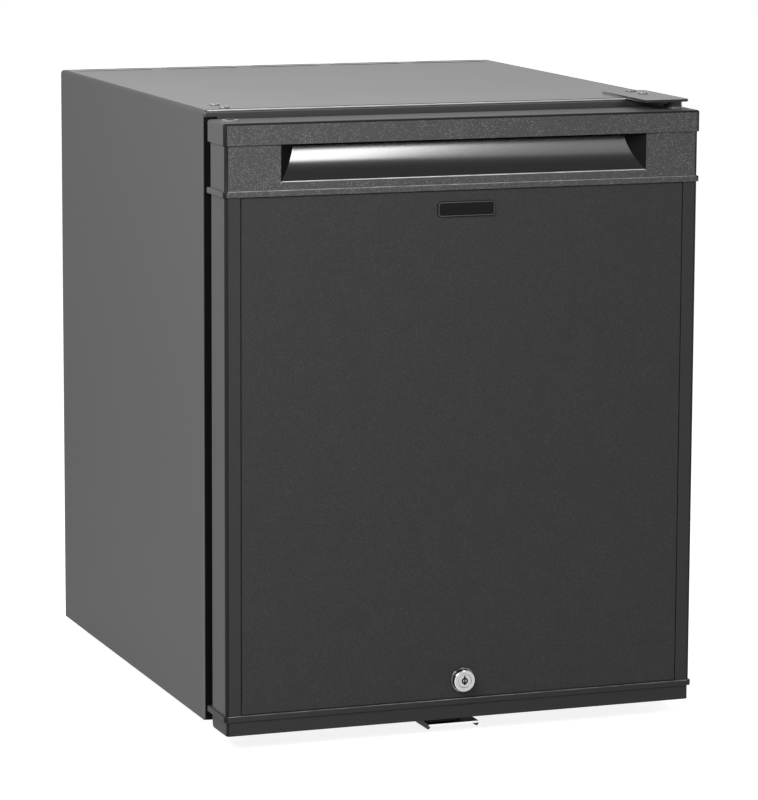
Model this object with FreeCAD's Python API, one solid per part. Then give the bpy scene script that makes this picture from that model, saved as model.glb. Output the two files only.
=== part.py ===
"""Minibar fridge: a quiet absorption cabinet with a hinged, lockable door.

Millimetres. X runs to the right as one faces the door, Y runs to the back and Z runs up.
The origin lies on the floor, under the centre of the whole fridge.
"""
import FreeCAD, Part
import math
import os

# Cabinet
cabinet_width = 400.0
cabinet_depth = 410.0
cabinet_height = 485.0
panel_sheet = 1.0
panel_bend = 3.0
panel_seam = 0.4
side_return = 12.0
top_flange = 12.0
frame_depth = 3.0
frame_round = 2.2
side_wall = 32.0
top_wall = 34.0
base_wall = 36.0
rear_wall = 34.0
rear_bay = 92.0

# Vent slots at the back of the top panel
vent_count = 5
vent_length = 62.0
vent_width = 6.0
vent_pitch = 77.5
vent_rear_inset = 10.0
vent_end_share = 0.45
rear_fold = 10.0

# Inner liner and its shelves
liner_sheet = 1.5
liner_round = 12.0
shelf_level_shares = (0.33, 0.655)
rib_reach = 7.0
rib_height = 4.0
shelf_side_gap = 1.0
shelf_front_inset = 78.0
shelf_rear_gap = 6.0
shelf_rod = 2.4
shelf_wire = 1.3
shelf_bend = 14.0
shelf_wire_pitch = 20.0

# Evaporator, drip tray, lamp and thermostat inside the cabinet
evaporator_width = 230.0
evaporator_height = 92.0
evaporator_plate = 3.0
evaporator_drop = 14.0
fin_count = 13
fin_depth = 20.0
fin_thickness = 1.6
tray_gap = 5.0
tray_height = 14.0
tray_depth = 40.0
tray_sheet = 1.5
tray_side_reach = 5.0
switch_length = 24.0
switch_depth = 7.0
switch_height = 6.0
lamp_length = 62.0
lamp_width = 22.0
lamp_height = 11.0
lamp_sheet = 1.4
lamp_front_inset = 120.0
board_sheet = 1.6
led_size = 4.0
led_height = 1.6
led_count = 3
thermostat_depth = 24.0
thermostat_width = 54.0
thermostat_height = 58.0
thermostat_front_inset = 150.0
thermostat_drop = 44.0
thermostat_round = 4.0
knob_radius = 14.0
knob_length = 12.0
knob_grips = 12
knob_grip_radius = 1.6
knob_stem_radius = 3.0
knob_stem_length = 10.0
knob_pointer_width = 2.0
knob_pointer_height = 1.0

# Door
door_inset = 1.8
door_drop = 2.0
door_top_step = 6.0
gasket_gap = 12.5
door_body = 34.5
door_corner_round = 3.0
profile_width = 12.2
profile_wall = 1.8
profile_tongue = 8.0
panel_groove = 1.0
front_panel_sheet = 1.5
front_panel_recess = 0.4

# Top cap of the door, with the handle recess
cap_height = 57.0
cap_wall = 2.5
cap_edge_round = 2.0
band_height = 17.0
band_stand = 1.2
cap_rear_step = 1.7
band_rear_reach = 3.8
rib_stand = 1.5
rib_front_stand = 0.9
rib_band = 4.5
rib_rear_reach = 5.5
cap_tongue = 6.0
groove_height = 0.7

# Handle recess
handle_width = 306.0
handle_sill = 11.0
handle_depth = 14.0
handle_end_slope = 1.08
handle_roof_gap = 8.0
handle_scoop_rise = 37.0
handle_scoop_mid_depth_share = 0.6
handle_scoop_mid_height_share = 0.35
handle_lip_wall = 3.5
insert_sheet = 1.6
pocket_wall = 2.5

# Bottom cap of the door
foot_cap_height = 16.0
foot_cap_side_step = 0.8
foot_cap_rear_step = 3.0
foot_cap_round = 4.0
foot_rib_rear_reach = 7.0

# Door liner, gasket and bins
door_liner_inset = 8.0
door_liner_edge = 8.0
dyke_reach = 28.0
dyke_width = 15.0
dyke_side_inset = 11.0
dyke_end_inset = 22.0
dyke_round = 8.0
ledge_reach = 4.0
ledge_height = 3.0
ledge_length = 24.0
gasket_width = 13.0
gasket_side_inset = 13.0
gasket_end_gap = 1.5
gasket_round = 6.0
magnet_width = 7.0
magnet_thickness = 3.0
magnet_skin = 0.8
bin_wall = 2.0
bin_reach = 56.0
bin_side_gap = 0.4
bin_round = 6.0
bin_level_shares = (0.02, 0.54)
bin_height_shares = (0.18, 0.145)
rail_radius = 2.0
rail_rise = 16.0
rail_seat = 6.0

# Badge plate
badge_width = 48.0
badge_height = 12.0
badge_sheet = 1.3
badge_round = 3.0
badge_edge_share = 0.45
badge_drop = 9.0

# Lock
lock_height = 31.0
lock_stand = 5.3
lock_flange_radius = 10.25
lock_flange_sheet = 1.4
lock_face_radius = 8.8
lock_barrel_radius = 8.0
lock_barrel_length = 17.0
lock_face_round = 1.0
lock_flange_round = 0.6
plug_radius = 5.5
plug_stand = 0.3
plug_edge_round = 0.3
plug_tail = 1.2
keyhole_width = 1.4
keyhole_height = 7.0
keyhole_depth = 6.0
nut_across_flats = 21.0
nut_height = 4.0
nut_sides = 6
cam_sheet = 2.5
cam_width = 9.0
cam_dip = 1.5
cam_screw_radius = 2.0
cam_screw_head_radius = 3.8
cam_screw_head_height = 2.0
cam_screw_depth = 8.0
cam_pocket_margin = 2.0
cam_slot_margin = 1.5
pocket_radius = 14.0

# Strike plate under the door
strike_drop = 10.0
strike_width = 43.0
strike_offset = 3.0
strike_front_inset = 10.5
strike_sheet = 1.5
strike_flange = 3.0
strike_riser_gap = 4.0
strike_foot = 24.0
strike_screw_spread = 24.0

# Hinges
pin_radius = 4.0
pin_side_inset = 13.0
pin_setback = 27.0
pin_engagement = 9.0
pin_shoulder_radius = 6.0
bush_radius = 5.5
bush_flange_radius = 6.7
bush_flange_sheet = 1.0
washer_radius = 6.2
washer_sheet = 1.2
hinge_plate_sheet = 2.0
hinge_plate_width = 39.0
hinge_plate_side_inset = 5.0
hinge_plate_nose = 12.0
hinge_plate_tail = 52.0
hinge_plate_round = 5.0
low_hinge_sheet = 2.0
low_washer_sheet = 0.8
low_hinge_width = 24.0
low_hinge_nose = 7.5
low_hinge_riser_gap = 1.0
hinge_screw_side_inset = 22.0
hinge_screw_first = 16.0
hinge_screw_pitch = 24.0

# Screws and feet
screw_radius = 2.0
screw_length = 12.0
screw_head_radius = 4.2
screw_head_height = 1.6
head_round_share = 0.45
slot_width_share = 0.3
slot_length_share = 1.1
slot_depth_share = 0.5
foot_height = 15.0
foot_top_radius = 15.0
foot_bottom_radius = 12.5
foot_side_inset = 46.0
foot_front_inset = 78.0
foot_rear_inset = 30.0
foot_sole = 8.0
foot_screw_head_radius = 5.0
foot_screw_head_height = 3.0

# Cooling unit in the rear bay
boiler_pipe_radius = 11.0
boiler_side_inset = 78.0
boiler_foot_height = 66.0
boiler_head_drop = 89.0
boiler_cover_width = 76.0
boiler_cover_depth = 72.0
boiler_cover_base = 92.0
boiler_cover_drop = 114.0
boiler_cover_sheet = 1.0
boiler_cover_round = 4.0
heater_radius = 6.0
heater_top_gap = 80.0
heater_tail = 14.0
lead_radius = 1.8
lead_spread = 5.0
condenser_pipe_radius = 7.0
condenser_bend = 24.0
condenser_fall = 10.0
condenser_fin_count = 22
condenser_fin_size = 54.0
condenser_fin_sheet = 0.8
condenser_fin_end = 1.5
evaporator_pipe_radius = 5.0
evaporator_pipe_bend = 6.0
evaporator_pipe_spread = 70.0
coil_pipe_radius = 8.0
coil_drop = 77.0
coil_runs = 6
coil_base_height = 98.0
coil_left_inset = 62.0
coil_bend_share = 0.46
tank_radius = 24.0
tank_height = 56.0
tank_left_inset = 60.0
tank_dome = 12.0
feed_pipe_radius = 7.0
feed_pipe_bend = 10.0
unit_gap = 3.0
strap_width = 18.0
strap_sheet = 2.0
strap_spread = 120.0
strap_base_height = 84.0
strap_top_rise = 16.0
cradle_depth = 30.0
cradle_rise = 6.0

# Control box on the base pan
control_width = 74.0
control_depth = 56.0
control_height = 44.0
control_sheet = 2.0
control_cover_sheet = 2.0
control_side_inset = 52.0
control_rear_inset = 8.0
control_round = 3.0
gland_radius = 8.0
gland_nut_radius = 10.0
gland_nut_length = 5.0
gland_bore_radius = 3.6

# Clearances
running_gap = 0.05
free_gap = 0.3
washer_gap = 0.2
cut_overrun = 1.0
tolerance = 1e-6

# Places worked out from the sizes above
half_width = cabinet_width / 2
base_z = foot_height
top_z = base_z + cabinet_height
door_reach = gasket_gap + liner_sheet + door_body
front_y = (door_reach + lock_stand - cabinet_depth) / 2
rear_y = front_y + cabinet_depth
bay_y = rear_y - rear_bay
bay_mid_y = rear_y - rear_bay / 2
door_front = front_y - door_reach
door_rear = front_y - gasket_gap
door_back = door_rear - liner_sheet
door_half = half_width - door_inset
door_base = base_z - door_drop
door_top = top_z - door_top_step
cap_base = door_top - cap_height
band_base = door_top - band_height
foot_cap_top = door_base + foot_cap_height
inner_half = half_width - side_wall
inner_base = base_z + base_wall
inner_top = top_z - top_wall
inner_height = inner_top - inner_base
inner_rear = bay_y - rear_wall
panel_rear = door_front + front_panel_recess + front_panel_sheet
pin_x = half_width - pin_side_inset
pin_y = front_y - pin_setback
lock_z = door_base + lock_height
cam_y = panel_rear + lock_barrel_length + plug_tail
strike_z = base_z - strike_drop

AXIS_X = FreeCAD.Vector(1, 0, 0)
AXIS_Y = FreeCAD.Vector(0, 1, 0)
AXIS_Z = FreeCAD.Vector(0, 0, 1)


def vec(x, y, z):
    """Point or direction."""
    return FreeCAD.Vector(x, y, z)


def block(x0, x1, y0, y1, z0, z1):
    """Box between two corners."""
    return Part.makeBox(x1 - x0, y1 - y0, z1 - z0, vec(x0, y0, z0))


def rod(radius, length, start, direction):
    """Solid cylinder from a start point along a direction."""
    return Part.makeCylinder(radius, length, start, direction)


def sleeve(outer, inner, length, start, direction):
    """Hollow cylinder."""
    bore = rod(inner, length + 2 * cut_overrun, start - direction * cut_overrun, direction)
    return rod(outer, length, start, direction).cut(bore)


def join(pieces):
    """One solid from pieces that touch or overlap."""
    whole = pieces[0]
    for piece in pieces[1:]:
        whole = whole.fuse(piece)
    return whole.removeSplitter()


def cut_all(body, tools):
    """Body with each tool's space taken out."""
    for tool in tools:
        body = body.cut(tool)
    return body


def runs_along(edge, axis):
    """True for a straight edge parallel to the axis."""
    if not isinstance(edge.Curve, Part.Line) or len(edge.Vertexes) < 2:
        return False
    step = edge.Vertexes[1].Point - edge.Vertexes[0].Point
    return step.cross(axis).Length < tolerance


def round_edges(body, radius, chosen):
    """Body with the chosen edges rounded."""
    edges = [edge for edge in body.Edges if chosen(edge)]
    return body.makeFillet(radius, edges)


def rounded_block(x0, x1, y0, y1, z0, z1, axis, radius):
    """Box whose four edges along one axis are rounded."""
    body = block(x0, x1, y0, y1, z0, z1)
    return round_edges(body, radius, lambda edge: runs_along(edge, axis))


def prism(points, push):
    """Flat outline of straight lines, pushed along a vector."""
    outline = Part.makePolygon(points + points[:1])
    return Part.Face(outline).extrude(push)


def mirrored(shape):
    """The same shape on the other side of the centre plane."""
    return shape.mirror(vec(0, 0, 0), AXIS_X)


def tube(points, radius, bend):
    """Round tube along straight runs that arcs join."""
    edges = []
    start = points[0]
    for index in range(1, len(points) - 1):
        corner = points[index]
        before = (corner - points[index - 1]).normalize()
        after = (points[index + 1] - corner).normalize()
        turn = before.getAngle(after)
        trim = bend * math.tan(turn / 2)
        arc_start = corner - before * trim
        arc_end = corner + after * trim
        inward = (after - before).normalize()
        centre_distance = bend / math.cos(turn / 2)
        middle = corner + inward * (centre_distance - bend)
        edges.append(Part.LineSegment(start, arc_start).toShape())
        edges.append(Part.Arc(arc_start, middle, arc_end).toShape())
        start = arc_end
    edges.append(Part.LineSegment(start, points[-1]).toShape())
    path = Part.Wire(edges)
    heading = (points[1] - points[0]).normalize()
    section = Part.Wire(Part.Circle(points[0], heading, radius).toShape())
    return path.makePipeShell([section], True, False)


def closed_frame(x0, x1, y0, y1, z, radius, bend):
    """Closed rectangular loop of rod with bent corners."""
    middle_x = (x0 + x1) / 2
    near = vec(middle_x, y0, z)
    far = vec(middle_x, y1, z)
    right = tube([near, vec(x1, y0, z), vec(x1, y1, z), far], radius, bend)
    left = tube([far, vec(x0, y1, z), vec(x0, y0, z), near], radius, bend)
    return right.fuse(left)


def pan_screw(place, direction, head_radius, head_height, length):
    """Screw whose head's underside lies at the place and whose shank runs along the direction."""
    head = rod(head_radius, head_height, place - direction * head_height, direction)
    far = place - direction * head_height
    round_radius = head_height * head_round_share
    head = round_edges(head, round_radius, lambda edge: rim_at(edge, far, direction))
    shank = rod(screw_radius, length, place, direction)
    slot_width = head_radius * slot_width_share
    slot_length = head_radius * slot_length_share
    depth = head_height * slot_depth_share
    slots = cross_slot(far, direction, slot_width, slot_length, depth)
    return cut_all(join([head, shank]), slots)


def rim_at(edge, place, direction):
    """True for a round edge that lies in the plane through a place."""
    if not isinstance(edge.Curve, Part.Circle):
        return False
    return abs((edge.Curve.Center - place).dot(direction)) < tolerance


def cross_slot(place, direction, width, length, depth):
    """Two crossed bars that cut a driver recess into a screw head."""
    bars = []
    for long_x, long_other in ((length, width), (width, length)):
        if abs(direction.z) > abs(direction.y):
            size = vec(long_x, long_other, depth)
        else:
            size = vec(long_x, depth, long_other)
        middle = place + direction * (depth / 2)
        low = middle - size * (1 / 2)
        bars.append(Part.makeBox(size.x, size.y, size.z, low))
    return bars


def screw_holes(places, low, high):
    """Cutters for upright screw holes between two heights."""
    length = high - low + 2 * cut_overrun
    return [rod(screw_radius, length, vec(place.x, place.y, low - cut_overrun), AXIS_Z) for place in places]


def group(solids):
    """Several separate solids that share one name."""
    return Part.makeCompound(solids)


def save(name, shape):
    """Write one named piece."""
    shape.exportStep("parts/" + name + ".step")


# Cabinet outside

def side_panel():
    """Right side sheet with a bend at the top and a return at front and back."""
    start_y = front_y + frame_depth
    outer = vec(half_width - panel_bend, 0, top_z - panel_bend)
    inner_bend = panel_bend - panel_sheet
    half_turn = math.sqrt(1 / 2)
    lines = [
        Part.LineSegment(vec(half_width, start_y, base_z), vec(half_width, start_y, outer.z)),
        Part.Arc(
            vec(half_width, start_y, outer.z),
            vec(outer.x + panel_bend * half_turn, start_y, outer.z + panel_bend * half_turn),
            vec(outer.x, start_y, top_z),
        ),
        Part.LineSegment(vec(outer.x, start_y, top_z), vec(outer.x, start_y, top_z - panel_sheet)),
        Part.Arc(
            vec(outer.x, start_y, top_z - panel_sheet),
            vec(outer.x + inner_bend * half_turn, start_y, outer.z + inner_bend * half_turn),
            vec(half_width - panel_sheet, start_y, outer.z),
        ),
        Part.LineSegment(
            vec(half_width - panel_sheet, start_y, outer.z),
            vec(half_width - panel_sheet, start_y, base_z),
        ),
        Part.LineSegment(
            vec(half_width - panel_sheet, start_y, base_z), vec(half_width, start_y, base_z),
        ),
    ]
    outline = Part.Wire([line.toShape() for line in lines])
    sheet = Part.Face(outline).extrude(vec(0, rear_y - start_y, 0))
    return join([sheet, panel_return(start_y), panel_return(rear_y - panel_sheet)])


def panel_return(y):
    """Upright strip of the right side sheet that is turned inwards."""
    return block(
        half_width - side_return, half_width - panel_sheet / 2, y, y + panel_sheet,
        base_z, top_z - panel_bend - top_flange,
    )


def vent_slots():
    """Cutters for the row of long slots near the back edge of the top."""
    slots = []
    end_y = rear_y - vent_rear_inset
    for index in range(vent_count):
        middle = (index - (vent_count - 1) / 2) * vent_pitch
        slots.append(rounded_block(
            middle - vent_length / 2, middle + vent_length / 2, end_y - vent_width, end_y,
            top_z - panel_sheet - cut_overrun, top_z + cut_overrun,
            AXIS_Z, vent_width * vent_end_share,
        ))
    return slots


def hinge_screw_places(side):
    """Where the two screws of a hinge plate stand, on the right for side 1, on the left for -1."""
    x = side * (half_width - hinge_screw_side_inset)
    rows = (hinge_screw_first, hinge_screw_first + hinge_screw_pitch)
    return [vec(x, front_y + row, 0) for row in rows]


def top_panel():
    """Top sheet with turned-down side edges, vent slots and screw holes."""
    side_x = half_width - panel_bend - panel_seam
    start_y = front_y + frame_depth + panel_seam
    sheet = block(-side_x, side_x, start_y, rear_y, top_z - panel_sheet, top_z)
    flange = block(
        side_x - panel_sheet, side_x, start_y, rear_y, top_z - top_flange, top_z - panel_sheet / 2,
    )
    fold = block(
        -side_x, side_x, rear_y - panel_sheet, rear_y, top_z - rear_fold, top_z - panel_sheet / 2,
    )
    body = join([sheet, flange, mirrored(flange), fold])
    places = hinge_screw_places(1) + hinge_screw_places(-1)
    return cut_all(body, vent_slots() + screw_holes(places, top_z - panel_sheet, top_z))


def front_frame():
    """Face frame round the opening, with a rounded lip that shows past the side and top panels."""
    outer = rounded_block(
        -half_width, half_width, front_y, front_y + frame_depth, base_z, top_z, AXIS_Y, panel_bend,
    )
    outer = round_edges(outer, frame_round, lambda edge: lies_in_plane_y(edge, front_y))
    opening = rounded_block(
        -inner_half - liner_sheet, inner_half + liner_sheet,
        front_y - cut_overrun, front_y + frame_depth + cut_overrun,
        inner_base - liner_sheet, inner_top + liner_sheet, AXIS_Y, liner_round + liner_sheet,
    )
    return outer.cut(opening)


def lies_in_plane_y(edge, y):
    """True for an edge whose points all lie at one place along Y."""
    bounds = edge.BoundBox
    return abs(bounds.YMin - y) < tolerance and abs(bounds.YMax - y) < tolerance


def foot_places():
    """Centres of the four feet."""
    x = half_width - foot_side_inset
    rows = (front_y + foot_front_inset, rear_y - foot_rear_inset)
    return [vec(side * x, row, 0) for side in (1, -1) for row in rows]


def base_pan():
    """Bottom sheet that carries the foam, the feet and the cooling unit."""
    side_x = half_width - panel_sheet
    start_y = front_y + frame_depth
    pan = block(-side_x, side_x, start_y, rear_y - panel_sheet, base_z, base_z + panel_sheet)
    front_return = panel_return(start_y)
    pan = cut_all(pan, [front_return, mirrored(front_return)])
    places = foot_places() + hinge_screw_places(1) + strike_screw_places()
    return cut_all(pan, screw_holes(places, base_z, base_z + panel_sheet))


def back_panel():
    """Sheet that closes the foam towards the rear bay, with two holes for the evaporator pipe."""
    side_x = half_width - panel_sheet
    top = top_z - panel_sheet
    sheet = block(-side_x, side_x, bay_y - panel_sheet, bay_y, base_z + panel_sheet, top)
    flange_room = block(
        side_x - panel_bend - panel_sheet, side_x, bay_y - panel_sheet, bay_y, top_z - top_flange, top,
    )
    return cut_all(sheet, [flange_room, mirrored(flange_room)] + pipe_holes())


def inner_liner():
    """White box inside the cabinet, open at the front, with ribs that carry the shelves."""
    outer = rounded_block(
        -inner_half - liner_sheet, inner_half + liner_sheet, front_y, inner_rear + liner_sheet,
        inner_base - liner_sheet, inner_top + liner_sheet, AXIS_Y, liner_round + liner_sheet,
    )
    room = rounded_block(
        -inner_half, inner_half, front_y - cut_overrun, inner_rear, inner_base, inner_top,
        AXIS_Y, liner_round,
    )
    shell = outer.cut(room)
    ribs = []
    for share in shelf_level_shares:
        top = inner_base + inner_height * share
        rib = block(
            inner_half - rib_reach, inner_half + liner_sheet / 2,
            front_y + shelf_front_inset, inner_rear + liner_sheet / 2, top - rib_height, top,
        )
        ribs += [rib, mirrored(rib)]
    return cut_all(join([shell] + ribs), pipe_holes())


def insulation():
    """Foam between the panels and the liner."""
    side_x = half_width - panel_sheet
    foam = block(
        -side_x, side_x, front_y + frame_depth, bay_y - panel_sheet,
        base_z + panel_sheet, top_z - panel_sheet,
    )
    liner_space = rounded_block(
        -inner_half - liner_sheet, inner_half + liner_sheet,
        front_y, inner_rear + liner_sheet,
        inner_base - liner_sheet, inner_top + liner_sheet, AXIS_Y, liner_round + liner_sheet,
    )
    front_return = panel_return(front_y + frame_depth)
    corner = block(
        half_width - panel_bend - panel_seam - panel_sheet, half_width, front_y, rear_y,
        top_z - top_flange, top_z,
    )
    tools = [liner_space, front_return, mirrored(front_return), corner, mirrored(corner)]
    tools += [door_switch()] + screw_shanks() + pipe_holes()
    return cut_all(foam, tools)


def screw_shanks():
    """Room in the foam for the shanks of the screws that enter it."""
    shanks = []
    for side in (1, -1):
        for place in hinge_screw_places(side):
            shanks.append(rod(screw_radius, screw_length, vec(place.x, place.y, top_z), -AXIS_Z))
    for place in foot_places() + hinge_screw_places(1) + strike_screw_places():
        start = vec(place.x, place.y, base_z)
        shanks.append(rod(screw_radius, screw_length + panel_sheet, start, AXIS_Z))
    return shanks


# Cabinet inside

def wire_shelf(share):
    """Loop of rod with thin wires across it from front to back."""
    half = inner_half - shelf_side_gap - shelf_rod
    near = front_y + shelf_front_inset + shelf_rod
    far = inner_rear - shelf_rear_gap - shelf_rod
    z = inner_base + inner_height * share + shelf_rod
    pieces = [closed_frame(-half, half, near, far, z, shelf_rod, shelf_bend)]
    count = int((half - shelf_bend) / shelf_wire_pitch)
    for index in range(-count, count + 1):
        start = vec(index * shelf_wire_pitch, near, z)
        pieces.append(rod(shelf_wire, far - near, start, AXIS_Y))
    return join(pieces)


def evaporator_front():
    """Front plane of the evaporator plate."""
    return inner_rear - free_gap - 2 * evaporator_pipe_radius - free_gap - evaporator_plate


def evaporator():
    """Cold plate with upright fins, held off the rear wall by four bosses."""
    front = evaporator_front()
    top = inner_top - evaporator_drop
    low = top - evaporator_height
    half = evaporator_width / 2
    plate = block(-half, half, front, front + evaporator_plate, low, top)
    pieces = [plate]
    pitch = (evaporator_width - fin_thickness) / (fin_count - 1)
    for index in range(fin_count):
        x = -half + index * pitch
        pieces.append(block(x, x + fin_thickness, front - fin_depth, front + evaporator_plate, low, top))
    boss_radius = evaporator_pipe_radius
    for x in (-half + 2 * boss_radius, half - 2 * boss_radius):
        for z in (low + 2 * boss_radius, top - 2 * boss_radius):
            length = inner_rear - front - evaporator_plate / 2
            pieces.append(rod(boss_radius, length, vec(x, front + evaporator_plate / 2, z), AXIS_Y))
    return join(pieces)


def drip_tray():
    """Shallow tray under the evaporator, hooked on the rear wall."""
    half = evaporator_width / 2 + tray_side_reach
    top = inner_top - evaporator_drop - evaporator_height - tray_gap
    outer = block(-half, half, inner_rear - tray_depth, inner_rear, top - tray_height, top)
    room = block(
        -half + tray_sheet, half - tray_sheet, inner_rear - tray_depth + tray_sheet,
        inner_rear - tray_sheet, top - tray_height + tray_sheet, top + cut_overrun,
    )
    return outer.cut(room)


def lamp_board():
    """Small circuit board on the ceiling with a row of light chips."""
    y0 = front_y + lamp_front_inset
    half_length = lamp_length / 2 - 2 * lamp_sheet
    half_depth = lamp_width / 2 - 2 * lamp_sheet
    pieces = [block(
        -half_length, half_length, y0 - half_depth, y0 + half_depth, inner_top - board_sheet, inner_top,
    )]
    for index in range(led_count):
        x = (index - (led_count - 1) / 2) * lamp_length / (led_count + 1)
        pieces.append(block(
            x - led_size / 2, x + led_size / 2, y0 - led_size / 2, y0 + led_size / 2,
            inner_top - board_sheet - led_height, inner_top - board_sheet / 2,
        ))
    return join(pieces)


def door_switch():
    """Magnetic switch behind the front frame, worked by the gasket's magnet."""
    y0 = front_y + frame_depth
    low = inner_top + liner_sheet + (top_wall - liner_sheet - switch_height) / 2
    return block(-switch_length / 2, switch_length / 2, y0, y0 + switch_depth, low, low + switch_height)


def lamp_lens():
    """Clear cover over the lamp board."""
    y0 = front_y + lamp_front_inset
    outer = rounded_block(
        -lamp_length / 2, lamp_length / 2, y0 - lamp_width / 2, y0 + lamp_width / 2,
        inner_top - lamp_height, inner_top, AXIS_Z, lamp_sheet * 2,
    )
    outer = round_edges(outer, lamp_sheet, lambda edge: lies_at_height(edge, inner_top - lamp_height))
    room = block(
        -lamp_length / 2 + lamp_sheet, lamp_length / 2 - lamp_sheet,
        y0 - lamp_width / 2 + lamp_sheet, y0 + lamp_width / 2 - lamp_sheet,
        inner_top - lamp_height + lamp_sheet, inner_top + cut_overrun,
    )
    return outer.cut(room)


def lies_at_height(edge, z):
    """True for an edge whose points all lie at one height."""
    bounds = edge.BoundBox
    return abs(bounds.ZMin - z) < tolerance and abs(bounds.ZMax - z) < tolerance


def knob_centre():
    """Where the thermostat knob's axis leaves its housing."""
    return vec(
        inner_half - thermostat_depth,
        front_y + thermostat_front_inset + thermostat_width / 2,
        inner_top - thermostat_drop - thermostat_height / 2,
    )


def thermostat_housing():
    """Rounded box on the right wall that holds the knob's spindle."""
    y0 = front_y + thermostat_front_inset
    top = inner_top - thermostat_drop
    body = rounded_block(
        inner_half - thermostat_depth, inner_half, y0, y0 + thermostat_width,
        top - thermostat_height, top, AXIS_X, thermostat_round,
    )
    bore = rod(knob_stem_radius + running_gap, knob_stem_length + free_gap, knob_centre(), AXIS_X)
    return body.cut(bore)


def thermostat_knob():
    """Grooved knob with a raised pointer and a stem that turns in the housing."""
    centre = knob_centre()
    face = centre - AXIS_X * (knob_length + free_gap)
    body = rod(knob_radius, knob_length, face, AXIS_X)
    body = round_edges(body, knob_grip_radius / 2, lambda edge: rim_at(edge, face, AXIS_X))
    grips = []
    for index in range(knob_grips):
        turn = 2 * math.pi * (index + 1 / 2) / knob_grips
        place = face + vec(-cut_overrun, math.cos(turn) * knob_radius, math.sin(turn) * knob_radius)
        grips.append(rod(knob_grip_radius, knob_length + 2 * cut_overrun, place, AXIS_X))
    body = cut_all(body, grips)
    pointer = block(
        face.x - knob_pointer_height, face.x + knob_pointer_height,
        face.y - knob_pointer_width / 2, face.y + knob_pointer_width / 2,
        face.z, face.z + knob_radius - 2 * knob_grip_radius,
    )
    stem_start = face + AXIS_X * (knob_length / 2)
    stem = rod(knob_stem_radius, knob_stem_length + free_gap + knob_length / 2, stem_start, AXIS_X)
    return join([body, pointer, stem])


# Feet and fasteners

def feet():
    """Four tapered feet, each with a pocket for its screw."""
    solids = []
    for place in foot_places():
        cone = Part.makeCone(foot_bottom_radius, foot_top_radius, foot_height, place, AXIS_Z)
        pocket = rod(
            foot_screw_head_radius + free_gap, foot_height - foot_sole + cut_overrun,
            place - AXIS_Z * cut_overrun, AXIS_Z,
        )
        hole = rod(screw_radius, foot_height + cut_overrun, place, AXIS_Z)
        solids.append(cut_all(cone, [pocket, hole]))
    return group(solids)


def foot_screws():
    """Screws that hold the feet to the base pan."""
    solids = []
    for place in foot_places():
        seat = place + AXIS_Z * (foot_height - foot_sole)
        length = foot_sole + screw_length + panel_sheet
        solids.append(pan_screw(seat, AXIS_Z, foot_screw_head_radius, foot_screw_head_height, length))
    return group(solids)


def hinge_screws():
    """Screws of the upper and lower hinge plates."""
    solids = []
    for place in hinge_screw_places(1):
        top = vec(place.x, place.y, top_z + hinge_plate_sheet)
        length = hinge_plate_sheet + screw_length
        solids.append(pan_screw(top, -AXIS_Z, screw_head_radius, screw_head_height, length))
        low = vec(place.x, place.y, base_z - low_hinge_sheet)
        length = low_hinge_sheet + screw_length + panel_sheet
        solids.append(pan_screw(low, AXIS_Z, screw_head_radius, screw_head_height, length))
    return group(solids)


def blanking_screws():
    """Screws that fill the left pair of hinge holes in the top."""
    solids = []
    for place in hinge_screw_places(-1):
        top = vec(place.x, place.y, top_z)
        solids.append(pan_screw(top, -AXIS_Z, screw_head_radius, screw_head_height, screw_length))
    return group(solids)


def strike_screw_places():
    """Where the strike plate's two screws stand."""
    y = front_y + strike_riser_gap + strike_foot / 2
    return [vec(-strike_offset + side * strike_screw_spread / 2, y, 0) for side in (1, -1)]


def strike_plate():
    """Stepped plate that the cam drops into: tongue under the door, riser and screwed foot."""
    x0 = -strike_offset - strike_width / 2
    x1 = x0 + strike_width
    nose = door_front + strike_front_inset
    riser = front_y + strike_riser_gap
    tongue = block(x0, x1, nose, riser + strike_sheet, strike_z, strike_z + strike_sheet)
    upright = block(x0, x1, riser, riser + strike_sheet, strike_z, base_z)
    foot = block(x0, x1, riser, riser + strike_foot, base_z - strike_sheet, base_z)
    pieces = [tongue, upright, foot]
    for x in (x0, x1 - strike_sheet):
        points = [
            vec(x, nose, strike_z + strike_sheet),
            vec(x, nose, strike_z),
            vec(x, nose + strike_flange, strike_z - strike_flange),
            vec(x, riser, strike_z - strike_flange),
            vec(x, riser, strike_z + strike_sheet),
        ]
        pieces.append(prism(points, vec(strike_sheet, 0, 0)))
    body = join(pieces)
    slot = cam_slot(strike_z - cut_overrun, strike_z + strike_sheet + cut_overrun)
    return cut_all(body, [slot] + screw_holes(strike_screw_places(), base_z - strike_sheet, base_z))


def strike_screws():
    """Screws of the strike plate."""
    solids = []
    for place in strike_screw_places():
        low = vec(place.x, place.y, base_z - strike_sheet)
        length = strike_sheet + screw_length + panel_sheet
        solids.append(pan_screw(low, AXIS_Z, screw_head_radius, screw_head_height, length))
    return group(solids)


# Hinges

def top_hinge_plate():
    """Flat plate on the cabinet's top that reaches over the door and holds the upper pin."""
    x1 = half_width - hinge_plate_side_inset
    plate = rounded_block(
        x1 - hinge_plate_width, x1, pin_y - hinge_plate_nose, front_y + hinge_plate_tail,
        top_z, top_z + hinge_plate_sheet, AXIS_Z, hinge_plate_round,
    )
    pin_start = vec(pin_x, pin_y, top_z - cut_overrun)
    pin_hole = rod(pin_radius, hinge_plate_sheet + 2 * cut_overrun, pin_start, AXIS_Z)
    holes = screw_holes(hinge_screw_places(1), top_z, top_z + hinge_plate_sheet)
    return cut_all(plate, [pin_hole] + holes)


def low_hinge_top():
    """Height of the lower hinge arm's upper face."""
    return door_base - washer_gap - low_washer_sheet


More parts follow.
